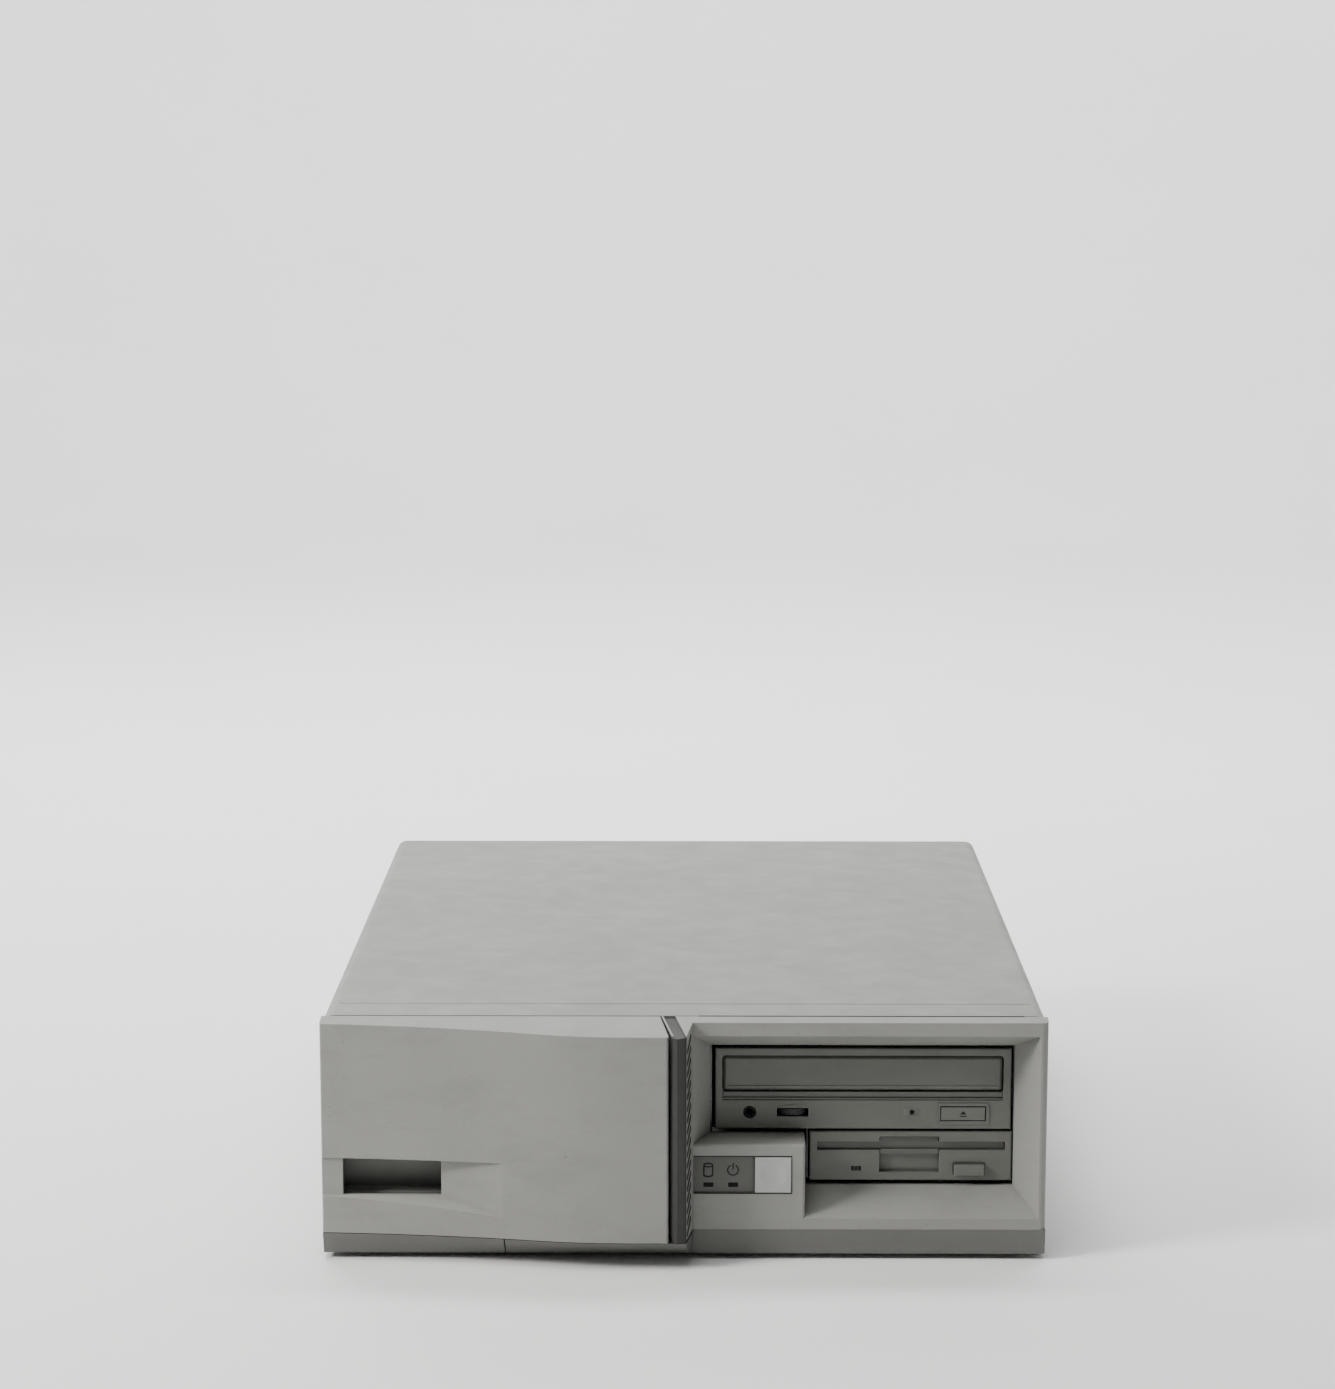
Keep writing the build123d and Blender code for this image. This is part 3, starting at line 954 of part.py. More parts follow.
with BuildPart() as memory_modules:
    for x in MODULES_X[:2]:
        block(x - 0.64, x + 0.64, *MODULES_Y, BOARD_TOP + 3, BOARD_TOP + 28)
        for step in range(8):
            y = MODULES_Y[0] + 5 + 12.6 * step
            block(x - 1.9, x - 0.6, y, y + 10, BOARD_TOP + 11, BOARD_TOP + 24)
save(memory_modules, "memory_modules")

CHIPS = [(-120, 120, 26), (-86, 0, 24), (40, 60, 22), (30, 120, 14), (-128, 152, 18)]
CANS = [(-74, 45 + 12 * k) for k in range(5)] + [(56, 130 + 14 * k) for k in range(4)]
BATTERY = (38.0, 170.0)
with BuildPart() as board_parts:
    for x, y, side in CHIPS:
        half, inner, outer = side / 2, side / 2 - 1, side / 2 + 2
        block(x - half, x + half, y - half, y + half, BOARD_TOP + 0.4, BOARD_TOP + 3.4)
        block(x - outer, x + outer, y - inner, y + inner, BOARD_TOP, BOARD_TOP + 0.8)
        block(x - inner, x + inner, y - outer, y + outer, BOARD_TOP, BOARD_TOP + 0.8)
    for x, y in CANS:
        rod(x, y, BOARD_TOP, 4.0, 11)
    rod(*BATTERY, BOARD_TOP, 12.4, 5)
    rod(*BATTERY, BOARD_TOP + 2.0, 10.2, 6, mode=Mode.SUBTRACT)
    rod(*BATTERY, BOARD_TOP + 2.0, 10.0, 3.2)
save(board_parts, "board_parts")

# ---------------------------------------------------------------- sockets along the board's back edge
# each is (X of its middle, width, number of pin columns)
D_PORTS = [(-72.0, 31.0, 5), (-26.0, 53.0, 13), (27.0, 31.0, 5)]
ROUND_PORTS = (-136.0, -118.0)
USB_X = -100.0
PORT_Z = 21.0
port_face = REAR + PORT_REACH

with BuildPart() as port_sockets:
    for x, width, columns in D_PORTS:
        block(x - width / 2, x + width / 2, REAR - 16, REAR - SHEET, BOARD_TOP, PORT_Z + 6.2)
        with BuildSketch(upright(port_face)):
            with Locations((x, PORT_Z)):
                Trapezoid(width - 12, 8.4, 80, rotation=180)
        extrude(amount=PORT_REACH + SHEET)
        with BuildSketch(upright(port_face)):
            with Locations((x, PORT_Z)):
                for side in (-1, 1):
                    with Locations((0.6 * side, 1.4 * side)):
                        with GridLocations(2.76, 1, columns - (side < 0), 1):
                            Circle(0.6)
        extrude(amount=5, mode=Mode.SUBTRACT)
        for side in (-1, 1):
            with BuildSketch(upright(REAR + 4.6)):
                with Locations((x + side * (width / 2 - 3), PORT_Z)):
                    RegularPolygon(2.8, 6)
            extrude(amount=4.6 + SHEET)
    for x in ROUND_PORTS:
        block(x - 7, x + 7, REAR - 13, REAR - SHEET, BOARD_TOP, BOARD_TOP + 13)
        rod(x, REAR - SHEET, PORT_Z - 0.4, 6.2, SHEET + 1.2, (0, 1, 0))
        rod(x, REAR + 0.3, PORT_Z - 0.4, 4.5, 2, (0, 1, 0), mode=Mode.SUBTRACT)
        for angle in range(30, 360, 60):
            hole_x = x + 2.5 * math.cos(math.radians(angle))
            hole_z = PORT_Z - 0.4 + 2.5 * math.sin(math.radians(angle))
            rod(hole_x, REAR - 3, hole_z, 0.6, 4, (0, 1, 0), mode=Mode.SUBTRACT)
    block(USB_X - 7, USB_X + 7, REAR - 16, REAR + 0.6, BOARD_TOP, BOARD_TOP + 15.4)
    for z in (BOARD_TOP + 1.4, BOARD_TOP + 8.6):
        block(USB_X - 6.2, USB_X + 6.2, REAR - 12, REAR + 1, z, z + 5.2, mode=Mode.SUBTRACT)
        block(USB_X - 5.2, USB_X + 5.2, REAR - 12, REAR - 1, z + 0.4, z + 2.2)
save(port_sockets, "port_sockets")

with BuildPart() as port_plate:
    block(PORTS_WINDOW[0], PORTS_WINDOW[1], *PANEL_Y, *PORTS_WINDOW[2:])
    for x, width, columns in D_PORTS:
        block(x - width / 2 - 0.4, x + width / 2 + 0.4, REAR - 2, REAR + 1, PORT_Z - 5.4, PORT_Z + 5.4,
              mode=Mode.SUBTRACT)
    for x in ROUND_PORTS:
        rod(x, REAR - 2, PORT_Z - 0.4, 6.3, 4, (0, 1, 0), mode=Mode.SUBTRACT)
    block(USB_X - 7.1, USB_X + 7.1, REAR - 2, REAR + 1, 0, BOARD_TOP + 15.5, mode=Mode.SUBTRACT)
save(port_plate, "port_plate")

# ================================================================ riser, cards and slot covers
CARD_SLOT = 1                                  # the slot that holds the network card
CARD_X = (-104.0, RISER_X - 8.0)

with BuildPart() as riser_card:
    block(RISER_X, RISER_X + 1.6, RISER_Y[0] + 4, RISER_Y[1] - 4, BOARD_TOP + 4, 108)
    for z in SLOT_Z:
        block(RISER_X - 9.5, RISER_X, RISER_Y[0] + 12, RISER_Y[0] + 96, z - 4.2, z + 4.2)
        block(RISER_X - 10, RISER_X - 3, RISER_Y[0] + 14, RISER_Y[0] + 94, z - 0.9, z + 0.9,
              mode=Mode.SUBTRACT)
save(riser_card, "riser_card")

card_z = SLOT_Z[CARD_SLOT]
with BuildPart() as network_card:
    block(CARD_X[0], RISER_X - 10.2, RISER_Y[0] + 6, PANEL_Y[0] - 1.4, card_z - 0.8, card_z + 0.8)
    block(RISER_X - 10.2, RISER_X - 3.4, RISER_Y[0] + 16, RISER_Y[0] + 92, card_z - 0.8, card_z + 0.8)
    block(-80, -56, 120, 144, card_z + 0.8, card_z + 3.6)
    block(-92, -76, RISER_Y[0] + 20, RISER_Y[0] + 34, card_z + 0.8, card_z + 3.0)
    block(-60, -44, PANEL_Y[0] - 17, PANEL_Y[0] - 1.0, card_z + 0.8, card_z + 5.2)
    block(-60, -44, PANEL_Y[0] - 1.0, REAR + 0.4, card_z - 5.4, card_z + 5.2)
    block(-58, -46, REAR - 12, REAR + 1, card_z - 4.0, card_z + 3.6, mode=Mode.SUBTRACT)
save(network_card, "network_card")

with BuildPart() as slot_covers:
    for z in SLOT_Z:
        block(SLOT_X[0] - 4, SLOT_X[1] + 4, PANEL_Y[0] - 1.0, PANEL_Y[0], z - 9, z + 9)
        block(SLOT_X[1] + 3, SLOT_X[1] + 4, PANEL_Y[0] - 11, PANEL_Y[0] - 1, z - 9, z + 9)
        for x in (SLOT_X[0] + 12, SLOT_X[1] - 12):
            block(x - 8, x + 8, PANEL_Y[0], PANEL_Y[0] + 0.6, z - 4.5, z + 4.5)
    block(-60.3, -43.7, REAR - 4, REAR + 1, card_z - 5.7, card_z + 5.5, mode=Mode.SUBTRACT)
save(slot_covers, "slot_covers")

# ================================================================ hard disk
DISK = (-168.0, -66.4, FRONT + 26.0, FRONT + 172.0, 52.0, 77.4)
with BuildPart() as hard_disk:
    block(*DISK[:4], DISK[4] + 3, DISK[5] - 2)
    fillet(hard_disk.edges().filter_by(Axis.Z), 3)
    block(DISK[0] + 4, DISK[1] - 4, DISK[2] + 3, DISK[3] - 3, DISK[5] - 2, DISK[5])
    rod(DISK[0] + 50.8, DISK[2] + 52, DISK[5] - 1, 30, 1.6)
    block(DISK[0] + 6, DISK[1] - 6, DISK[2] + 4, DISK[3], DISK[4] + 1.4, DISK[4] + 3)
    block(DISK[0] + 8, DISK[0] + 60, DISK[3] - 9, DISK[3], DISK[4] + 3, DISK[4] + 10, mode=Mode.SUBTRACT)
    block(DISK[0] + 8, DISK[0] + 60, DISK[3] - 9, DISK[3] - 0.5, DISK[4] + 3, DISK[4] + 9)
    block(DISK[0] + 9, DISK[0] + 59, DISK[3] - 7, DISK[3], DISK[4] + 4, DISK[4] + 8, mode=Mode.SUBTRACT)
save(hard_disk, "hard_disk")

with BuildPart() as disk_bracket:
    for x in (DISK[0] - SHEET, DISK[1]):
        block(x, x + SHEET, WALL_Y[1], DISK[3] - 46, FLOOR, DISK[5] - 4)
    block(DISK[0], DISK[1], WALL_Y[1], DISK[3] - 46, DISK[4], DISK[4] + 1)
    block(DISK[0] - SHEET, DISK[1] + SHEET, WALL_Y[1], DISK[3] - 46, FLOOR, FLOOR + SHEET)
    # one window in each side
    block(DISK[0] - 4, DISK[1] + 4, FRONT + 44, FRONT + 104, FLOOR + 10, FLOOR + 30, mode=Mode.SUBTRACT)
save(disk_bracket, "disk_bracket")

# ================================================================ speaker, leads and screws
SPEAKER = (-34.0, 50.0)
with BuildPart() as speaker:
    rod(SPEAKER[0], WALL_Y[1], SPEAKER[1], 27, 3, (0, 1, 0))
    with BuildSketch(Plane.XZ.offset(-WALL_Y[1] - 3)):
        with Locations(SPEAKER):
            Circle(25)
    with BuildSketch(Plane.XZ.offset(-WALL_Y[1] - 12)):
        with Locations(SPEAKER):
            Circle(12)
    loft()
    rod(SPEAKER[0], WALL_Y[1] + 12, SPEAKER[1], 14, 7, (0, 1, 0))
save(speaker, "speaker")


def ribbon(points, radius, thickness, left, right):
    """A flat cable: a band on a side-view route (distance back, height), as wide as from left to right."""
    with BuildPart() as band:
        with BuildSketch(Plane.YZ.offset(left)):
            with BuildLine():
                FilletPolyline(*points, radius=radius)
                offset(amount=thickness, side=Side.RIGHT)
            make_face()
        extrude(amount=right - left)
    return band.part


LEAD_T = 1.2
CD_PLUG_Z = 68.0
with BuildPart() as ribbon_cables:
    add(ribbon([(DISK[3], DISK[4] + 6), (DISK[3] + 26, DISK[4] + 6), (DISK[3] + 26, BOARD_TOP + 6)],
               12, 2 * LEAD_T, DISK[0] + 20, DISK[0] + 60))
    block(DISK[0] + 18, DISK[0] + 60, DISK[3] + 22, DISK[3] + 29, BOARD_TOP, BOARD_TOP + 8)
    add(ribbon([(CD_Y[1], CD_PLUG_Z), (CD_Y[1] + 22, CD_PLUG_Z), (CD_Y[1] + 22, BOARD_TOP + 6)],
               9, 2 * LEAD_T, 20, 70))
    block(18, 71, CD_Y[1] + 18, CD_Y[1] + 25, BOARD_TOP, BOARD_TOP + 8)
save(ribbon_cables, "ribbon_cables")

with BuildPart() as power_lead:
    with BuildLine() as lead_route:
        FilletPolyline(
            (84, psu_y[0], 40), (84, psu_y[0] - 26, 40), (60, psu_y[0] - 50, 36),
            (50, psu_y[0] - 54, BOARD_TOP + 8),
            radius=8,
        )
    with BuildSketch(Plane(origin=lead_route.line @ 0, z_dir=lead_route.line % 0)):
        Circle(4.5)
    sweep(path=lead_route.line)
    block(38, 62, psu_y[0] - 60, psu_y[0] - 48, BOARD_TOP, BOARD_TOP + 10)
save(power_lead, "power_lead")

with BuildPart() as cover_screws:
    for x in (-120, 0, 120):
        rod(x, COVER_BACK, 116.6, 3.6, 2.6, (0, 1, 0))
        block(x - 3, x + 3, COVER_BACK + 1.6, COVER_BACK + 3, 116.2, 117.0, mode=Mode.SUBTRACT)
save(cover_screws, "cover_screws")
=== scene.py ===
import json
import math

import bmesh
import bpy
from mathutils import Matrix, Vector


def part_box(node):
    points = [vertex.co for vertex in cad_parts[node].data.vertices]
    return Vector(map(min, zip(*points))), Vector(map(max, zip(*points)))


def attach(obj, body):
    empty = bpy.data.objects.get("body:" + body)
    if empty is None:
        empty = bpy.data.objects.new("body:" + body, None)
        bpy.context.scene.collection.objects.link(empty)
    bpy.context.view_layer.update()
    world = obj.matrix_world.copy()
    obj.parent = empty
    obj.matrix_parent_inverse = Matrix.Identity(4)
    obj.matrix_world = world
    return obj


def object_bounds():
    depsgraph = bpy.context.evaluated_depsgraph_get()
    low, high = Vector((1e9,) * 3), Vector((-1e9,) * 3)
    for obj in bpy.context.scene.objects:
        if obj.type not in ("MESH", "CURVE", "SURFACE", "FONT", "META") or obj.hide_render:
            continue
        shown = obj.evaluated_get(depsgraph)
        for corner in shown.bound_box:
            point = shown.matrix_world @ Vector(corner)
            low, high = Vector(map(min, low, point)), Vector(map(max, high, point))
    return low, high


# The looks of a low desktop computer: a material for every piece, small moulded details,
# a pale floor, soft light and the camera. Everything is in metres in the model's own frame.

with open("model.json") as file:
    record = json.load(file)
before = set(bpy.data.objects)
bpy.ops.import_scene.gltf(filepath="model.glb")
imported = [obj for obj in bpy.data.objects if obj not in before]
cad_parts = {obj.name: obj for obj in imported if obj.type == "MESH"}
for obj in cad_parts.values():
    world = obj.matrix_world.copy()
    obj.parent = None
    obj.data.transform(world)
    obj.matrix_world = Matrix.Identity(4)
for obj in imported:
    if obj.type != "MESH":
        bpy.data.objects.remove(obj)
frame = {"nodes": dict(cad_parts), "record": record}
CAD_BOX = [list(corner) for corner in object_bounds()]
MM = 0.001


# ---------------------------------------------------------------- node graphs
class Graph:
    """Builds one material's node tree, with the object's own coordinates in metres."""

    def __init__(self, name):
        self.material = bpy.data.materials.new(name)
        self.material.use_nodes = True
        self.tree = self.material.node_tree
        self.shader = self.tree.nodes["Principled BSDF"]
        self.place = self.node("ShaderNodeTexCoord").outputs["Object"]

    def node(self, kind, **settings):
        made = self.tree.nodes.new(kind)
        for key, value in settings.items():
            setattr(made, key, value)
        return made

    def link(self, source, target):
        self.tree.links.new(source, target)

    def stretched(self, scale):
        mapping = self.node("ShaderNodeMapping")
        mapping.inputs["Scale"].default_value = scale
        self.link(self.place, mapping.inputs["Vector"])
        return mapping.outputs["Vector"]

    def noise(self, scale, detail=3.0, rough=0.55, place=None):
        made = self.node("ShaderNodeTexNoise")
        made.inputs["Scale"].default_value = scale
        made.inputs["Detail"].default_value = detail
        made.inputs["Roughness"].default_value = rough
        self.link(place or self.place, made.inputs["Vector"])
        return made.outputs["Fac"]

    def cells(self, scale, feature="F1"):
        made = self.node("ShaderNodeTexVoronoi", feature=feature)
        made.inputs["Scale"].default_value = scale
        self.link(self.place, made.inputs["Vector"])
        return made

    def span(self, value, low, high, to_low, to_high):
        made = self.node("ShaderNodeMapRange")
        ends = {"From Min": low, "From Max": high, "To Min": to_low, "To Max": to_high}
        for key, number in ends.items():
            made.inputs[key].default_value = number
        self.link(value, made.inputs["Value"])
        return made.outputs["Result"]

    def mix(self, amount, first, second):
        """Mixes two colours; each is a colour or a socket."""
        made = self.node("ShaderNodeMix", data_type="RGBA")
        self.link(amount, made.inputs["Factor"])
        for key, colour in (("A", first), ("B", second)):
            socket = [s for s in made.inputs if s.name == key and s.type == "RGBA"][0]
            if hasattr(colour, "links"):
                self.link(colour, socket)
            else:
                socket.default_value = (*colour, 1.0)
        return [s for s in made.outputs if s.type == "RGBA"][0]

    def colour(self, source):
        self.link(source, self.shader.inputs["Base Color"])

    def roughness(self, source):
        self.link(source, self.shader.inputs["Roughness"])

    def relief(self, height, strength, distance, edge=0.0):
        """Bump from a height, over edges that are softened by a radius."""
        bump = self.node("ShaderNodeBump")
        bump.inputs["Strength"].default_value = strength
        bump.inputs["Distance"].default_value = distance
        self.link(height, bump.inputs["Height"])
        if edge:
            soft = self.node("ShaderNodeBevel", samples=4)
            soft.inputs["Radius"].default_value = edge
            self.link(soft.outputs["Normal"], bump.inputs["Normal"])
        self.link(bump.outputs["Normal"], self.shader.inputs["Normal"])

    def edge_wear_and_highlight(self, radius):
        """0 on flat faces, rising to 1 where the surface turns within a radius."""
        soft = self.node("ShaderNodeBevel", samples=4)
        soft.inputs["Radius"].default_value = radius
        flat = self.node("ShaderNodeNewGeometry")
        along = self.node("ShaderNodeVectorMath", operation="DOT_PRODUCT")
        self.link(soft.outputs["Normal"], along.inputs[0])
        self.link(flat.outputs["True Normal"], along.inputs[1])
        return self.span(along.outputs["Value"], 0.80, 0.99, 1, 0)

    def product(self, first, second):
        made = self.node("ShaderNodeMath", operation="MULTIPLY")
        self.link(first, made.inputs[0])
        self.link(second, made.inputs[1])
        return made.outputs[0]

    def crevices(self, distance):
        """1 in the open, falling to 0 in corners and seams, where shade falls."""
        made = self.node("ShaderNodeAmbientOcclusion", samples=4, only_local=False)
        made.inputs["Distance"].default_value = distance
        return made.outputs["AO"]


def shade(colour, factor):
    return tuple(min(1.0, channel * factor) for channel in colour)


# ---------------------------------------------------------------- materials
COARSE_GRAIN = 0.08      # plastics with a coarser grain than this also show pale flecks


def moulded(name, colour, rough=0.52, grain=0.05, edge=0.5 * MM, corner_shade_amount=0.55):
    """Moulded plastic: spark-eroded grain, faint mottling, handled patches, painted shade in the corners
    and a painted highlight with wear along the open edges.
    """
    g = Graph(name)
    cloudy = g.span(g.noise(14, 4), 0.35, 0.65, 0, 1)
    base = g.mix(cloudy, shade(colour, 0.94), shade(colour, 1.05))
    if grain > COARSE_GRAIN:
        fleck = g.span(g.noise(1500, 2), 0.30, 0.70, 0, 1)
        base = g.mix(fleck, base, shade(colour, 1.08))
    smudge = g.span(g.noise(22, 6, 0.68, g.stretched((1, 1, 2.2))), 0.50, 0.74, 0, 0.42)
    base = g.mix(smudge, base, shade(colour, 0.70))
    streak = g.span(g.noise(60, 5, 0.7, g.stretched((0.35, 1, 3.0))), 0.60, 0.78, 0, 0.28)
    base = g.mix(streak, base, shade(colour, 0.60))
    speck = g.span(g.noise(420, 2, 0.4), 0.75, 0.78, 0, 0.35)
    base = g.mix(speck, base, shade(colour, 0.35))
    # painted shade: corners and seams darken towards 0.2 of the colour where occlusion closes in
    corner_shade = g.span(g.crevices(4 * MM), 0.15, 0.8, corner_shade_amount, 0)
    base = g.mix(corner_shade, base, shade(colour, 0.20))
    # painted highlight and wear: open convex edges lighten to 1.55 of the colour, in patches
    open_edges = g.product(g.edge_wear_and_highlight(0.8 * MM), g.span(g.crevices(2.5 * MM), 0.75, 0.95, 0, 1))
    highlight_and_wear = g.product(open_edges, g.span(g.noise(90, 4), 0.35, 0.65, 0.45, 0.9))
    base = g.mix(highlight_and_wear, base, shade(colour, 1.55))
    g.colour(base)
    g.roughness(g.span(g.noise(45, 5), 0.3, 0.7, rough - 0.07, rough + 0.09))
    g.relief(g.noise(2600, 3), grain * 3, 0.05 * MM, edge)
    g.shader.inputs["Specular IOR Level"].default_value = 0.42
    return g.material


def painted(name, colour):
    """Powder-textured paint on sheet steel, slightly uneven, with painted shade in its corners."""
    g = Graph(name)
    cloudy = g.span(g.noise(9, 5, 0.6), 0.32, 0.68, 0, 1)
    base = g.mix(cloudy, shade(colour, 0.93), shade(colour, 1.06))
    scuffs = g.span(g.noise(30, 6, 0.7, g.stretched((1, 7, 1))), 0.66, 0.80, 0, 0.35)
    base = g.mix(scuffs, base, shade(colour, 0.72))
    # painted shade: corners darken towards 0.4 of the colour
    base = g.mix(g.span(g.crevices(8 * MM), 0.3, 0.9, 0.5, 0), base, shade(colour, 0.4))
    g.colour(base)
    g.roughness(g.span(g.noise(60, 4), 0.3, 0.7, 0.44, 0.60))
    g.relief(g.noise(1400, 3), 0.22, 0.06 * MM, 0.6 * MM)
    return g.material


def zinc(name, colour=(0.50, 0.52, 0.53)):
    """Galvanised sheet: flat crystals that differ in tone and gloss, with painted shade in its corners and
    gaps.
    """
    g = Graph(name)
    crystal = g.cells(170)
    tone = g.node("ShaderNodeSeparateColor")
    g.link(crystal.outputs["Color"], tone.inputs["Color"])
    base = g.mix(tone.outputs["Red"], shade(colour, 0.90), shade(colour, 1.07))
    base = g.mix(g.span(g.noise(18, 5), 0.55, 0.75, 0, 0.4), base, shade(colour, 0.6))
    # painted shade: corners and gaps go nearly black
    base = g.mix(g.span(g.crevices(9 * MM), 0.40, 0.85, 0.96, 0), base, shade(colour, 0.02))
    g.colour(base)
    g.roughness(g.span(tone.outputs["Green"], 0, 1, 0.36, 0.46))
    g.shader.inputs["Metallic"].default_value = 0.92
    g.relief(g.noise(420, 3), 0.06, 0.04 * MM, 0.3 * MM)
    return g.material


def drawn(name, colour=(0.60, 0.60, 0.61), along=(1, 1, 40), rough=0.26):
    """Bright plated steel with fine drawing lines."""
    g = Graph(name)
    lines = g.noise(160, 3, 0.6, g.stretched(along))
    g.colour(g.mix(g.span(lines, 0.3, 0.7, 0, 1), shade(colour, 0.82), shade(colour, 1.08)))
    g.roughness(g.span(lines, 0.3, 0.7, rough - 0.06, rough + 0.10))
    g.shader.inputs["Metallic"].default_value = 1.0
    g.relief(lines, 0.08, 0.03 * MM, 0.25 * MM)
    return g.material


def cast(name, colour=(0.45, 0.46, 0.47)):
    """Die-cast metal, pebbled and dull."""
    g = Graph(name)
    g.colour(g.mix(g.span(g.noise(70, 5), 0.3, 0.7, 0, 1), shade(colour, 0.85), shade(colour, 1.05)))
    g.roughness(g.span(g.noise(240, 4), 0.3, 0.7, 0.42, 0.58))
    g.shader.inputs["Metallic"].default_value = 0.9
    g.relief(g.noise(700, 4), 0.35, 0.08 * MM, 0.4 * MM)
    return g.material


def board(name, shell_y=None):
    """A green circuit board: traces under the mask, small vias, and a tinned socket beyond shell_y."""
    g = Graph(name)
    mask, trace, metal = (0.010, 0.050, 0.024), (0.018, 0.088, 0.040), (0.48, 0.46, 0.38)
    brick = g.node("ShaderNodeTexBrick", offset=0.37, squash=0.6)
    brick.inputs["Scale"].default_value = 110
    brick.inputs["Mortar Size"].default_value = 0.10
    g.link(g.place, brick.inputs["Vector"])
    traced = g.mix(brick.outputs["Fac"], mask, trace)
    via = g.cells(260)
    dots = g.span(via.outputs["Distance"], 0.10, 0.14, 1, 0)
    patch = g.span(g.noise(26, 2), 0.50, 0.56, 0, 1)
    both = g.node("ShaderNodeMath", operation="MULTIPLY")
    g.link(dots, both.inputs[0])
    g.link(patch, both.inputs[1])
    base = g.mix(both.outputs[0], traced, metal)
    if shell_y is not None:
        depth = g.node("ShaderNodeSeparateXYZ")
        g.link(g.place, depth.inputs["Vector"])
        shell = g.span(depth.outputs["Y"], shell_y - 0.1 * MM, shell_y + 0.1 * MM, 0, 1)
        # painted shade: the socket goes nearly black in its hollows
        socket_shade = g.span(g.crevices(9 * MM), 0.40, 0.85, 1, 0)
        tinned = g.mix(socket_shade, (0.50, 0.51, 0.51), (0.02, 0.02, 0.02))
        base = g.mix(shell, base, tinned)
        g.link(g.product(shell, g.span(g.noise(60, 2), 0.3, 0.7, 0.8, 0.95)), g.shader.inputs["Metallic"])
    g.colour(base)
    g.roughness(g.span(g.noise(90, 3), 0.3, 0.7, 0.28, 0.42))
    g.relief(brick.outputs["Fac"], 0.25, 0.05 * MM)
    return g.material


def flat_cable(name):
    """Ribbon cable: side-by-side wires, faintly patchy in tone."""
    g = Graph(name)
    wires = g.node("ShaderNodeTexWave", wave_type="BANDS", bands_direction="X")
    wires.inputs["Scale"].default_value = 125
    g.link(g.place, wires.inputs["Vector"])
    base = g.mix(wires.outputs["Fac"], (0.22, 0.22, 0.21), (0.46, 0.46, 0.44))
    g.colour(g.mix(g.span(g.noise(25, 3), 0.4, 0.7, 0, 0.3), base, (0.30, 0.29, 0.27)))
    g.roughness(g.span(g.noise(80, 3), 0.3, 0.7, 0.45, 0.6))
    g.relief(wires.outputs["Fac"], 0.6, 0.3 * MM)
    return g.material


def rubber(name):
    g = Graph(name)
    colour = (0.035, 0.035, 0.034)
    dust = g.span(g.noise(120, 5), 0.55, 0.75, 0, 0.5)
    g.colour(g.mix(dust, colour, shade(colour, 2.4)))
    g.roughness(g.span(g.noise(300, 3), 0.3, 0.7, 0.72, 0.9))
    g.relief(g.noise(1800, 3), 0.25, 0.06 * MM, 0.3 * MM)
    return g.material


CASE = (0.246, 0.246, 0.230)
COVER = (0.190, 0.190, 0.178)
DRIVE = (0.126, 0.128, 0.114)
STRIP = (0.098, 0.099, 0.091)
TRIM = (0.026, 0.026, 0.025)
PALE = (0.39, 0.39, 0.374)
BLACK = (0.014, 0.014, 0.013)

SOCKET_DEEP = 19.0 * MM
SOCKET_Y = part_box("network_card")[1].y - SOCKET_DEEP     # the card's socket starts here

materials = {
    "case_plastic": moulded("case_plastic", CASE, 0.54, 0.10, 0.7 * MM),
    # painted shade: the plinth is the case plastic darkened to 0.53, as it lies under the front's overhang
    "shaded_plinth_plastic": moulded("shaded_plinth_plastic", shade(CASE, 0.53), 0.56, 0.10, 0.5 * MM, 0.8),
    "gap_plastic": moulded("gap_plastic", shade(BLACK, 0.35), 0.85, 0.05, 0.1 * MM, 0.2),
    "trim_plastic": moulded("trim_plastic", TRIM, 0.48, 0.05, 0.4 * MM),
    "drive_plastic": moulded("drive_plastic", DRIVE, 0.50, 0.06, 0.35 * MM),
    "strip_plastic": moulded("strip_plastic", STRIP, 0.46, 0.05, 0.2 * MM),
    "button_plastic": moulded("button_plastic", PALE, 0.44, 0.04, 0.4 * MM, 0.35),
    "dark_plastic": moulded("dark_plastic", BLACK, 0.45, 0.05, 0.3 * MM, 0.2),
    "painted_steel": painted("painted_steel", COVER),
    "zinc_steel": zinc("zinc_steel"),
    "bright_steel": drawn("bright_steel"),
    "screw_steel": drawn("screw_steel", (0.52, 0.51, 0.47), (1, 1, 1), 0.34),
    "cast_metal": cast("cast_metal"),
    "sink_metal": drawn("sink_metal", (0.58, 0.59, 0.60), (1, 30, 1), 0.36),
    "green_board": board("green_board"),
    "card_board": board("card_board", SOCKET_Y),
    "ceramic": moulded("ceramic", (0.20, 0.155, 0.20), 0.62, 0.05, 0.2 * MM),
    "foot_rubber": rubber("foot_rubber"),
    "cable": flat_cable("cable"),
}
# pieces whose tone differs from the rest of their record slot
TONES = {
    # painted shade: the plinth and the diskette drive's flap take darker plastics than the rest of their
    # slots
    "plinth": "shaded_plinth_plastic", "control_panel": "strip_plastic", "floppy_flap": "strip_plastic",
    "headphone_socket": "gap_plastic", "cd_volume_wheel": "trim_plastic", "lamps": "gap_plastic",
    "network_card": "card_board",
}


def dress(piece, material):
    piece.data.materials.clear()
    piece.data.materials.append(materials[material])


for row in frame["record"]["subparts"]:
    dress(frame["nodes"][row["node"]], TONES.get(row["node"], row["material_slot"]))


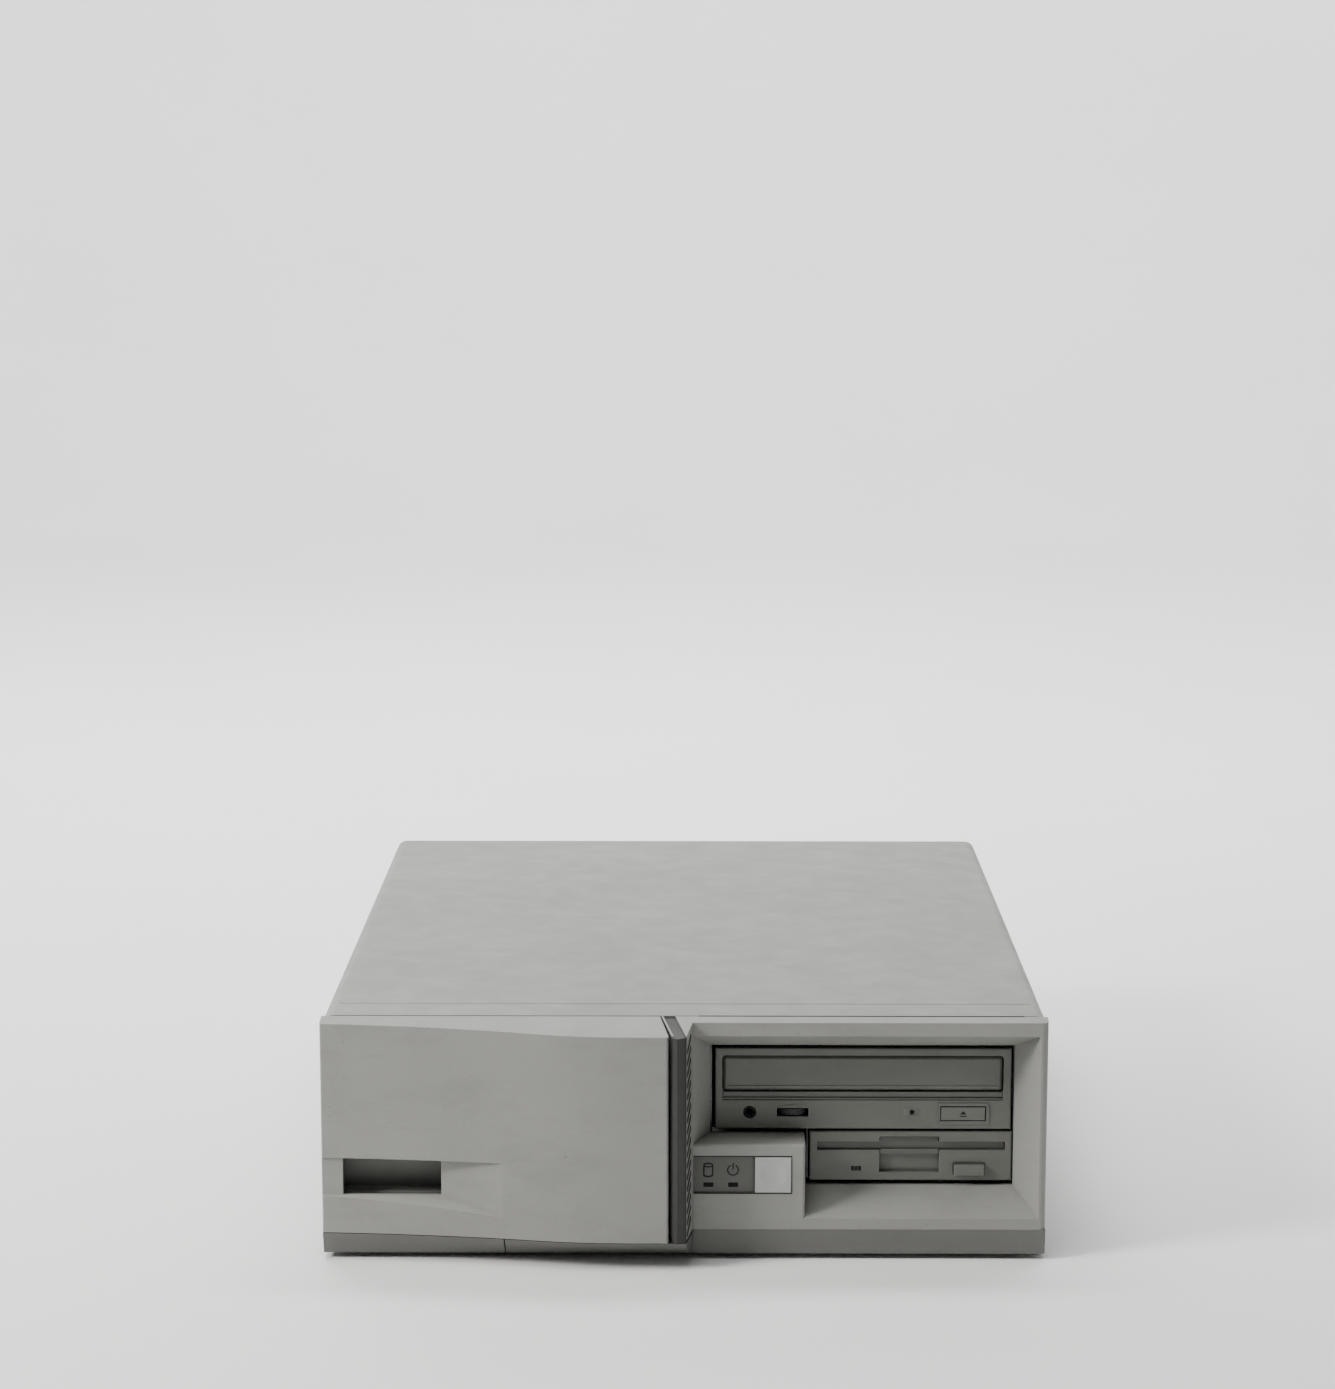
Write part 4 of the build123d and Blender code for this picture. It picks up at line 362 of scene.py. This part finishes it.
# ---------------------------------------------------------------- moulded details
def finish_piece(bm, name, body, material, soften=0.0):
    """Turns a bmesh into a piece that rides on a body, with its sharp edges rounded off."""
    bmesh.ops.recalc_face_normals(bm, faces=bm.faces)
    if soften:
        sharp = [e for e in bm.edges if len(e.link_faces) == 2 and e.calc_face_angle() > math.radians(30)]
        bmesh.ops.bevel(bm, geom=sharp, offset=soften, segments=2, profile=0.5, affect="EDGES")
    mesh = bpy.data.meshes.new(name)
    bm.to_mesh(mesh)
    bm.free()
    piece = bpy.data.objects.new(name, mesh)
    bpy.context.scene.collection.objects.link(piece)
    dress(piece, material)
    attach(piece, body)
    return piece


def add_prism(bm, outline, near, far):
    """An upright outline in (X, Z), carried from depth near to depth far."""
    rings = [[bm.verts.new((x, y, z)) for x, z in outline] for y in (near, far)]
    count = len(outline)
    for i in range(count):
        j = (i + 1) % count
        bm.faces.new((rings[0][i], rings[0][j], rings[1][j], rings[1][i]))
    bm.faces.new(rings[0])
    bm.faces.new(rings[1][::-1])


def rectangle(x0, x1, z0, z1):
    return [(x0, z0), (x1, z0), (x1, z1), (x0, z1)]


def add_frustum_ring(bm, centre, inner, outer, near, far):
    """A rectangular ring whose inner edge stands nearer than its outer edge."""
    corners = ((-1, -1), (1, -1), (1, 1), (-1, 1))
    loops = []
    for half, y in ((inner, near), (outer, far), (outer, far + 0.4 * MM), (inner, far + 0.4 * MM)):
        loops.append([
            bm.verts.new((centre[0] + sx * half[0], y, centre[1] + sz * half[1])) for sx, sz in corners
        ])
    for a in range(4):
        b = (a + 1) % 4
        for i in range(4):
            j = (i + 1) % 4
            bm.faces.new((loops[a][i], loops[a][j], loops[b][j], loops[b][i]))


def add_screw(bm, centre, radius, face_y, proud, sides=28):
    """A pan-head screw on a face that looks to the rear, with a sunk cone in its head."""
    x0, z0 = centre
    rings = []
    for share, rise in ((1.0, 0.0), (1.0, 0.35), (0.86, 0.8), (0.5, 1.0)):
        ring = []
        for step in range(sides):
            a = 2 * math.pi * step / sides
            ring.append(bm.verts.new((
                x0 + radius * share * math.cos(a), face_y + proud * rise, z0 + radius * share * math.sin(a),
            )))
        rings.append(ring)
    for low, high in zip(rings, rings[1:]):
        for i in range(sides):
            j = (i + 1) % sides
            bm.faces.new((low[i], low[j], high[j], high[i]))
    bm.faces.new(rings[0][::-1])
    # the recess: a cone sunk to a middle point
    top = rings[-1]
    sunk = bm.verts.new((x0, face_y + proud * 0.25, z0))
    for i in range(sides):
        bm.faces.new((top[i], top[(i + 1) % sides], sunk))


def add_band(bm, path, half_width, near, far, closed=False):
    """A flat line of one width along a path in (X, Z), carried from depth near to depth far."""
    count = len(path)
    rims = []
    for i, (x, z) in enumerate(path):
        before = path[i - 1] if closed or i else path[i]
        after = path[(i + 1) % count] if closed or i < count - 1 else path[i]
        run = Vector((after[0] - before[0], after[1] - before[1])).normalized()
        side = Vector((-run.y, run.x)) * half_width
        rims.append([
            bm.verts.new((x + sign * side.x, y, z + sign * side.y)) for sign, y in
            ((1, near), (-1, near), (-1, far), (1, far))
        ])
    for i in range(count if closed else count - 1):
        first, second = rims[i], rims[(i + 1) % count]
        for k in range(4):
            bm.faces.new((first[k], second[k], second[(k + 1) % 4], first[(k + 1) % 4]))
    if not closed:
        bm.faces.new(rims[0])
        bm.faces.new(rims[-1][::-1])


def add_slot(bm, centre, slant, across, inward, size, depths, steps=8):
    """A slot with round ends, sunk from one depth to another under a slanted face."""
    straight, radius = (size[0] - size[1]) / 2, size[1] / 2
    rings = []
    for depth in depths:
        ring = []
        for side in (1, -1):
            for i in range(steps + 1):
                a = math.pi * (i / steps - 0.5)
                ring.append(bm.verts.new(
                    centre + inward * depth + slant * side * (straight + radius * math.cos(a))
                    + across * side * radius * math.sin(a)
                ))
        rings.append(ring)
    count = len(rings[0])
    for i in range(count):
        j = (i + 1) % count
        bm.faces.new((rings[0][i], rings[0][j], rings[1][j], rings[1][i]))
    bm.faces.new(rings[0])
    bm.faces.new(rings[1][::-1])


def arc(centre, radius_x, radius_z, start, end, steps=28):
    """Points on an ellipse between two angles in degrees."""
    return [
        (centre[0] + radius_x * math.cos(math.radians(start + (end - start) * i / steps)),
         centre[1] + radius_z * math.sin(math.radians(start + (end - start) * i / steps)))
        for i in range(steps + 1)
    ]


def mid(node):
    low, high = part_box(node)
    return (low + high) / 2


cd_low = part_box("cd_bezel")[0]
fd_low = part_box("floppy_bezel")[0]
tray_low, tray_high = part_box("cd_tray_front")
bay_face = fd_low.y

# the pale lip along the foot of the disc tray's front
LIP_IN, LIP_UP, LIP_TALL, LIP_PROUD = 2 * MM, 1.3 * MM, 1.3 * MM, 0.35 * MM
lip_z = tray_low.z + LIP_UP
bm = bmesh.new()
add_prism(bm, rectangle(tray_low.x + LIP_IN, tray_high.x - LIP_IN, lip_z, lip_z + LIP_TALL),
          tray_low.y - LIP_PROUD, tray_low.y + 0.3 * MM)
finish_piece(bm, "tray_front_lip", "disc_tray", "drive_plastic", 0.15 * MM)

# the rising wedge over the volume wheel
wheel = mid("cd_volume_wheel")
bm = bmesh.new()
add_prism(bm, [
    (wheel.x - 7 * MM, wheel.z + 3.2 * MM), (wheel.x + 7 * MM, wheel.z + 3.2 * MM),
    (wheel.x + 7 * MM, wheel.z + 5.0 * MM),
], bay_face - 0.25 * MM, bay_face + 0.3 * MM)
finish_piece(bm, "volume_wedge", "case", "drive_plastic", 0.08 * MM)

# the flared surround of the disc drive's lamp
CD_LAMP_OFFSET = (98.6 * MM, 8.8 * MM)
cd_lamp = (cd_low.x + CD_LAMP_OFFSET[0], cd_low.z + CD_LAMP_OFFSET[1])
bm = bmesh.new()
RING_INNER, RING_OUTER, RING_PROUD = (1.4 * MM, 1.4 * MM), (4.2 * MM, 2.0 * MM), 0.35 * MM
add_frustum_ring(bm, cd_lamp, RING_INNER, RING_OUTER, bay_face - RING_PROUD, bay_face)
finish_piece(bm, "disc_lamp_surround", "case", "drive_plastic")

# the diskette drive's lamp window, black behind two thin bars
FD_LAMP_OFFSET = (23.5 * MM, 6.3 * MM)
fd_lamp = (fd_low.x + FD_LAMP_OFFSET[0], fd_low.z + FD_LAMP_OFFSET[1])
WINDOW_HALF = (2.5 * MM, 1.2 * MM)
BAR_HALF = 0.14 * MM
bm = bmesh.new()
add_prism(bm, rectangle(fd_lamp[0] - WINDOW_HALF[0], fd_lamp[0] + WINDOW_HALF[0],
                        fd_lamp[1] - WINDOW_HALF[1], fd_lamp[1] + WINDOW_HALF[1]),
          bay_face - 0.03 * MM, bay_face + 0.5 * MM)
finish_piece(bm, "diskette_lamp_window", "case", "gap_plastic")
bm = bmesh.new()
bar_z = (fd_lamp[1] - WINDOW_HALF[1], fd_lamp[1] + WINDOW_HALF[1])
for x in (fd_lamp[0] - WINDOW_HALF[0] / 3, fd_lamp[0] + WINDOW_HALF[0] / 3):
    add_prism(bm, rectangle(x - BAR_HALF, x + BAR_HALF, *bar_z), bay_face - 0.08 * MM, bay_face + 0.1 * MM)
finish_piece(bm, "diskette_lamp_bars", "case", "strip_plastic")

# painted shade: a darker strip across the trough under the disc tray's front
TROUGH_BELOW, TROUGH_TALL = 0.6 * MM, 2.3 * MM
trough_top = tray_low.z - TROUGH_BELOW
bm = bmesh.new()
add_prism(bm, rectangle(tray_low.x, tray_high.x, trough_top - TROUGH_TALL, trough_top),
          bay_face - 0.06 * MM, bay_face + 0.4 * MM)
finish_piece(bm, "tray_trough_shade", "case", "strip_plastic", 0.05 * MM)

# printed signs on the control strip: a disk over one lamp, a power mark over the other
SKIN = 0.04 * MM          # how far a printed or dark line stands off the face behind it
strip_low, strip_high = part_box("control_panel")
INK, INK_DEPTH = 0.30 * MM, 0.35 * MM
SIGN_RISE, DISK_IN, POWER_IN = 11.6 * MM, 7.1 * MM, 19.4 * MM
sign_y = (strip_low.y - SKIN, strip_low.y + INK_DEPTH)
disk_sign = (strip_low.x + DISK_IN, strip_low.z + SIGN_RISE)
power_sign = (strip_low.x + POWER_IN, strip_low.z + SIGN_RISE)
bm = bmesh.new()
CAN_R, CAN_FLAT, CAN_HALF = 2.2 * MM, 0.95 * MM, 2.5 * MM
can_top = (disk_sign[0], disk_sign[1] + CAN_HALF)
add_band(bm, arc(can_top, CAN_R, CAN_FLAT, 0, 351), INK, *sign_y, closed=True)
can_foot = arc((disk_sign[0], disk_sign[1] - CAN_HALF), CAN_R, CAN_FLAT, 180, 360)
can_left, can_right = [(disk_sign[0] + side * CAN_R, can_top[1] - INK) for side in (-1, 1)]
add_band(bm, [can_left, *can_foot, can_right], INK, *sign_y)
POWER_R = 2.65 * MM
add_band(bm, arc(power_sign, POWER_R, POWER_R, 122, 418), INK, *sign_y)
power_bar = [(power_sign[0], power_sign[1] + rise * MM) for rise in (0.4, 3.5)]
add_band(bm, power_bar, INK, *sign_y)
finish_piece(bm, "control_signs", "case", "gap_plastic")

# the dark gap round the control strip and the button
button_low, button_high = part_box("power_button")
GAP_HALF, GAP_OUT, GAP_DEPTH, STRIP_SUNK = 0.24 * MM, 0.15 * MM, 0.3 * MM, 1.0 * MM
front_y = strip_low.y - STRIP_SUNK
gap_y = (front_y - SKIN, front_y + GAP_DEPTH)
bm = bmesh.new()
add_band(bm, rectangle(
    strip_low.x - GAP_OUT, button_high.x + 2 * GAP_OUT, strip_low.z - GAP_OUT, strip_high.z + GAP_OUT,
), GAP_HALF, *gap_y, closed=True)
split_x = (strip_high.x + button_low.x) / 2
add_band(bm, [(split_x, strip_low.z), (split_x, strip_high.z)], GAP_HALF, *gap_y)
finish_piece(bm, "control_gaps", "case", "gap_plastic")

# painted shade: black slot shapes laid just proud of the slanted louvres in the column's right face, which
# runs back to the front plane
COLUMN_PROUD, LOUVRE_Z = 17.5 * MM, 66.5 * MM
FACE_NEAR = Vector((1.2 * MM, front_y - COLUMN_PROUD, LOUVRE_Z))
FACE_FAR = Vector((4.2 * MM, front_y, LOUVRE_Z))
LOUVRES, LOUVRE_PITCH, LOUVRE_TILT, LOUVRE_SHARE = 17, 5.8 * MM, math.radians(31), 0.354
SLOT_LONG, SLOT_WIDE, SLOT_SHIFT = 13.0 * MM, 3.3 * MM, 1.3 * MM
SLOT_DEPTHS = (-0.03 * MM, 1.2 * MM)
along = (FACE_FAR - FACE_NEAR).normalized()
inward = Vector((-along.y, along.x, 0))
middle = FACE_NEAR + (FACE_FAR - FACE_NEAR) * LOUVRE_SHARE
slant = along * math.cos(LOUVRE_TILT) + Vector((0, 0, math.sin(LOUVRE_TILT)))
across = slant.cross(inward)
bm = bmesh.new()
for step in range(LOUVRES):
    rise = Vector((0, 0, (step - (LOUVRES - 1) / 2) * LOUVRE_PITCH))
    centre = middle + slant * SLOT_SHIFT + rise
    add_slot(bm, centre, slant, across, inward, (SLOT_LONG, SLOT_WIDE), SLOT_DEPTHS)
finish_piece(bm, "louvre_shade", "case", "gap_plastic")

# the eject sign on the disc drive's key: a triangle over a bar
key_low, key_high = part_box("cd_eject_key")
key_mid = ((key_low.x + key_high.x) / 2, (key_low.z + key_high.z) / 2)
key_ink = (key_low.y - SKIN, key_low.y + INK_DEPTH)
bm = bmesh.new()
add_prism(bm, [
    (key_mid[0] - 1.5 * MM, key_mid[1] - 0.3 * MM), (key_mid[0] + 1.5 * MM, key_mid[1] - 0.3 * MM),
    (key_mid[0], key_mid[1] + 1.3 * MM),
], *key_ink)
eject_bar = [(key_mid[0] + side * 1.6 * MM, key_mid[1] - 1.2 * MM) for side in (-1, 1)]
add_band(bm, eject_bar, 0.25 * MM, *key_ink)
finish_piece(bm, "eject_sign", "disc_eject_key", "gap_plastic")

# the dark gap round the eject key, and the raised rim outside it
KEY_GAP, KEY_GAP_HALF = 0.36 * MM, 0.48 * MM
KEY_RIM, KEY_RIM_HALF, RIM_PROUD = 1.6 * MM, 0.45 * MM, 0.6 * MM


def round_key(out):
    return rectangle(key_low.x - out, key_high.x + out, key_low.z - out, key_high.z + out)


bm = bmesh.new()
add_band(bm, round_key(KEY_GAP), KEY_GAP_HALF, bay_face - SKIN, bay_face + 0.3 * MM, closed=True)
finish_piece(bm, "eject_gap", "case", "gap_plastic")
bm = bmesh.new()
add_band(bm, round_key(KEY_RIM), KEY_RIM_HALF, bay_face - RIM_PROUD, bay_face + 0.2 * MM, closed=True)
finish_piece(bm, "eject_rim", "case", "drive_plastic", 0.18 * MM)

# the thin dark joint between the cover and the frame over the bay
JOINT_RUN, JOINT_DROP, JOINT_TALL = (7 * MM, 168 * MM), 0.1 * MM, 0.35 * MM
bezel_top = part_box("front_bezel")[1].z
lid_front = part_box("top_cover")[0].y
bm = bmesh.new()
joint_z = bezel_top - JOINT_DROP
add_prism(bm, rectangle(*JOINT_RUN, joint_z, joint_z + JOINT_TALL),
          lid_front - 0.45 * MM, lid_front + 0.1 * MM)
finish_piece(bm, "cover_joint", "case", "gap_plastic")

# screws that hold the power supply to the rear
SCREW_IN, SCREW_UP, SCREW_R, SCREW_PROUD = 8 * MM, 9 * MM, 3.1 * MM, 1.7 * MM
psu_low, psu_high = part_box("psu_case")
bm = bmesh.new()
for x in (psu_low.x + SCREW_IN, psu_high.x - SCREW_IN):
    for z in (psu_low.z + SCREW_UP, psu_high.z - SCREW_UP):
        add_screw(bm, (x, z), SCREW_R, psu_high.y, SCREW_PROUD)
finish_piece(bm, "supply_screws", "case", "screw_steel")


# ---------------------------------------------------------------- floor, light and camera
def area_light(name, place, target, size, power, colour=(1, 1, 1)):
    lamp = bpy.data.lights.new(name, "AREA")
    lamp.shape, lamp.size, lamp.energy, lamp.color = "SQUARE", size, power, colour
    made = bpy.data.objects.new(name, lamp)
    bpy.context.scene.collection.objects.link(made)
    made.location = place
    made.rotation_mode = "QUATERNION"
    made.rotation_quaternion = (Vector(target) - Vector(place)).to_track_quat("-Z", "Y")


GREY_FROM = (-4.6, -1.6)      # the sheet turns grey over this depth, well in front of the case


def pale_floor():
    """A round pale sheet that the case stands on, curving up to a wall all the way round."""
    middle_y, flat, bend, height, steps, sides = -0.9, 3.6, 1.2, 4.5, 16, 96
    profile = [(flat * share, 0.0) for share in (0.2, 0.6, 1.0)]
    for i in range(1, steps + 1):
        a = math.pi / 2 * i / steps
        profile.append((flat + bend * math.sin(a), bend * (1 - math.cos(a))))
    profile.append((flat + bend, height))
    bm = bmesh.new()
    rings = []
    turns = [2 * math.pi * i / sides for i in range(sides)]
    for radius, z in profile:
        rings.append([
            bm.verts.new((radius * math.cos(t), middle_y + radius * math.sin(t), z)) for t in turns
        ])
    bm.faces.new(rings[0])
    for low, high in zip(rings, rings[1:]):
        for i in range(sides):
            j = (i + 1) % sides
            bm.faces.new((low[i], low[j], high[j], high[i])).smooth = True
    mesh = bpy.data.meshes.new("floor")
    bm.to_mesh(mesh)
    bm.free()
    floor = bpy.data.objects.new("floor", mesh)
    bpy.context.scene.collection.objects.link(floor)
    g = Graph("floor_paper")
    paper = g.mix(g.span(g.noise(3, 3), 0.3, 0.7, 0, 1), (0.84, 0.84, 0.835), (0.87, 0.87, 0.865))
    depth = g.node("ShaderNodeSeparateXYZ")
    g.link(g.place, depth.inputs["Vector"])
    g.colour(g.mix(g.span(depth.outputs["Y"], *GREY_FROM, 1, 0), paper, (0.30, 0.30, 0.30)))
    g.roughness(g.span(g.noise(8, 3), 0.3, 0.7, 0.75, 0.85))
    floor.data.materials.append(g.material)
    floor.location.z = CAD_BOX[0][2]


pale_floor()
world = bpy.data.worlds.new("studio")
world.use_nodes = True
background = world.node_tree.nodes["Background"]
background.inputs["Color"].default_value = (0.95, 0.97, 1.0, 1)
background.inputs["Strength"].default_value = 0.09
bpy.context.scene.world = world

AIM = (0, -0.15, 0.06)
area_light("key", (-1.65, -0.90, 1.30), AIM, 0.55, 47, (1.0, 0.99, 0.965))
area_light("overhead", (-0.3, -0.5, 1.8), AIM, 0.8, 16)
area_light("fill", (1.6, -2.0, 0.7), AIM, 1.4, 1.0)
area_light("back", (-0.9, 1.5, 1.3), AIM, 1.0, 8)
area_light("backdrop", (0, 0.9, 2.6), (0, 3.6, 0.7), 2.2, 190)

LENS, SENSOR = 82.94, 36.0
CAMERA_PLACE = (3.0 * MM, -1733 * MM, 535.3 * MM)
PITCH_DOWN, YAW_LEFT = 9.3, 0.42
camera_data = bpy.data.cameras.new("camera")
camera_data.lens, camera_data.sensor_width = LENS, SENSOR
camera = bpy.data.objects.new("camera", camera_data)
bpy.context.scene.collection.objects.link(camera)
camera.location = CAMERA_PLACE
camera.rotation_euler = (math.radians(90 - PITCH_DOWN), 0, math.radians(YAW_LEFT))
bpy.context.scene.camera = camera
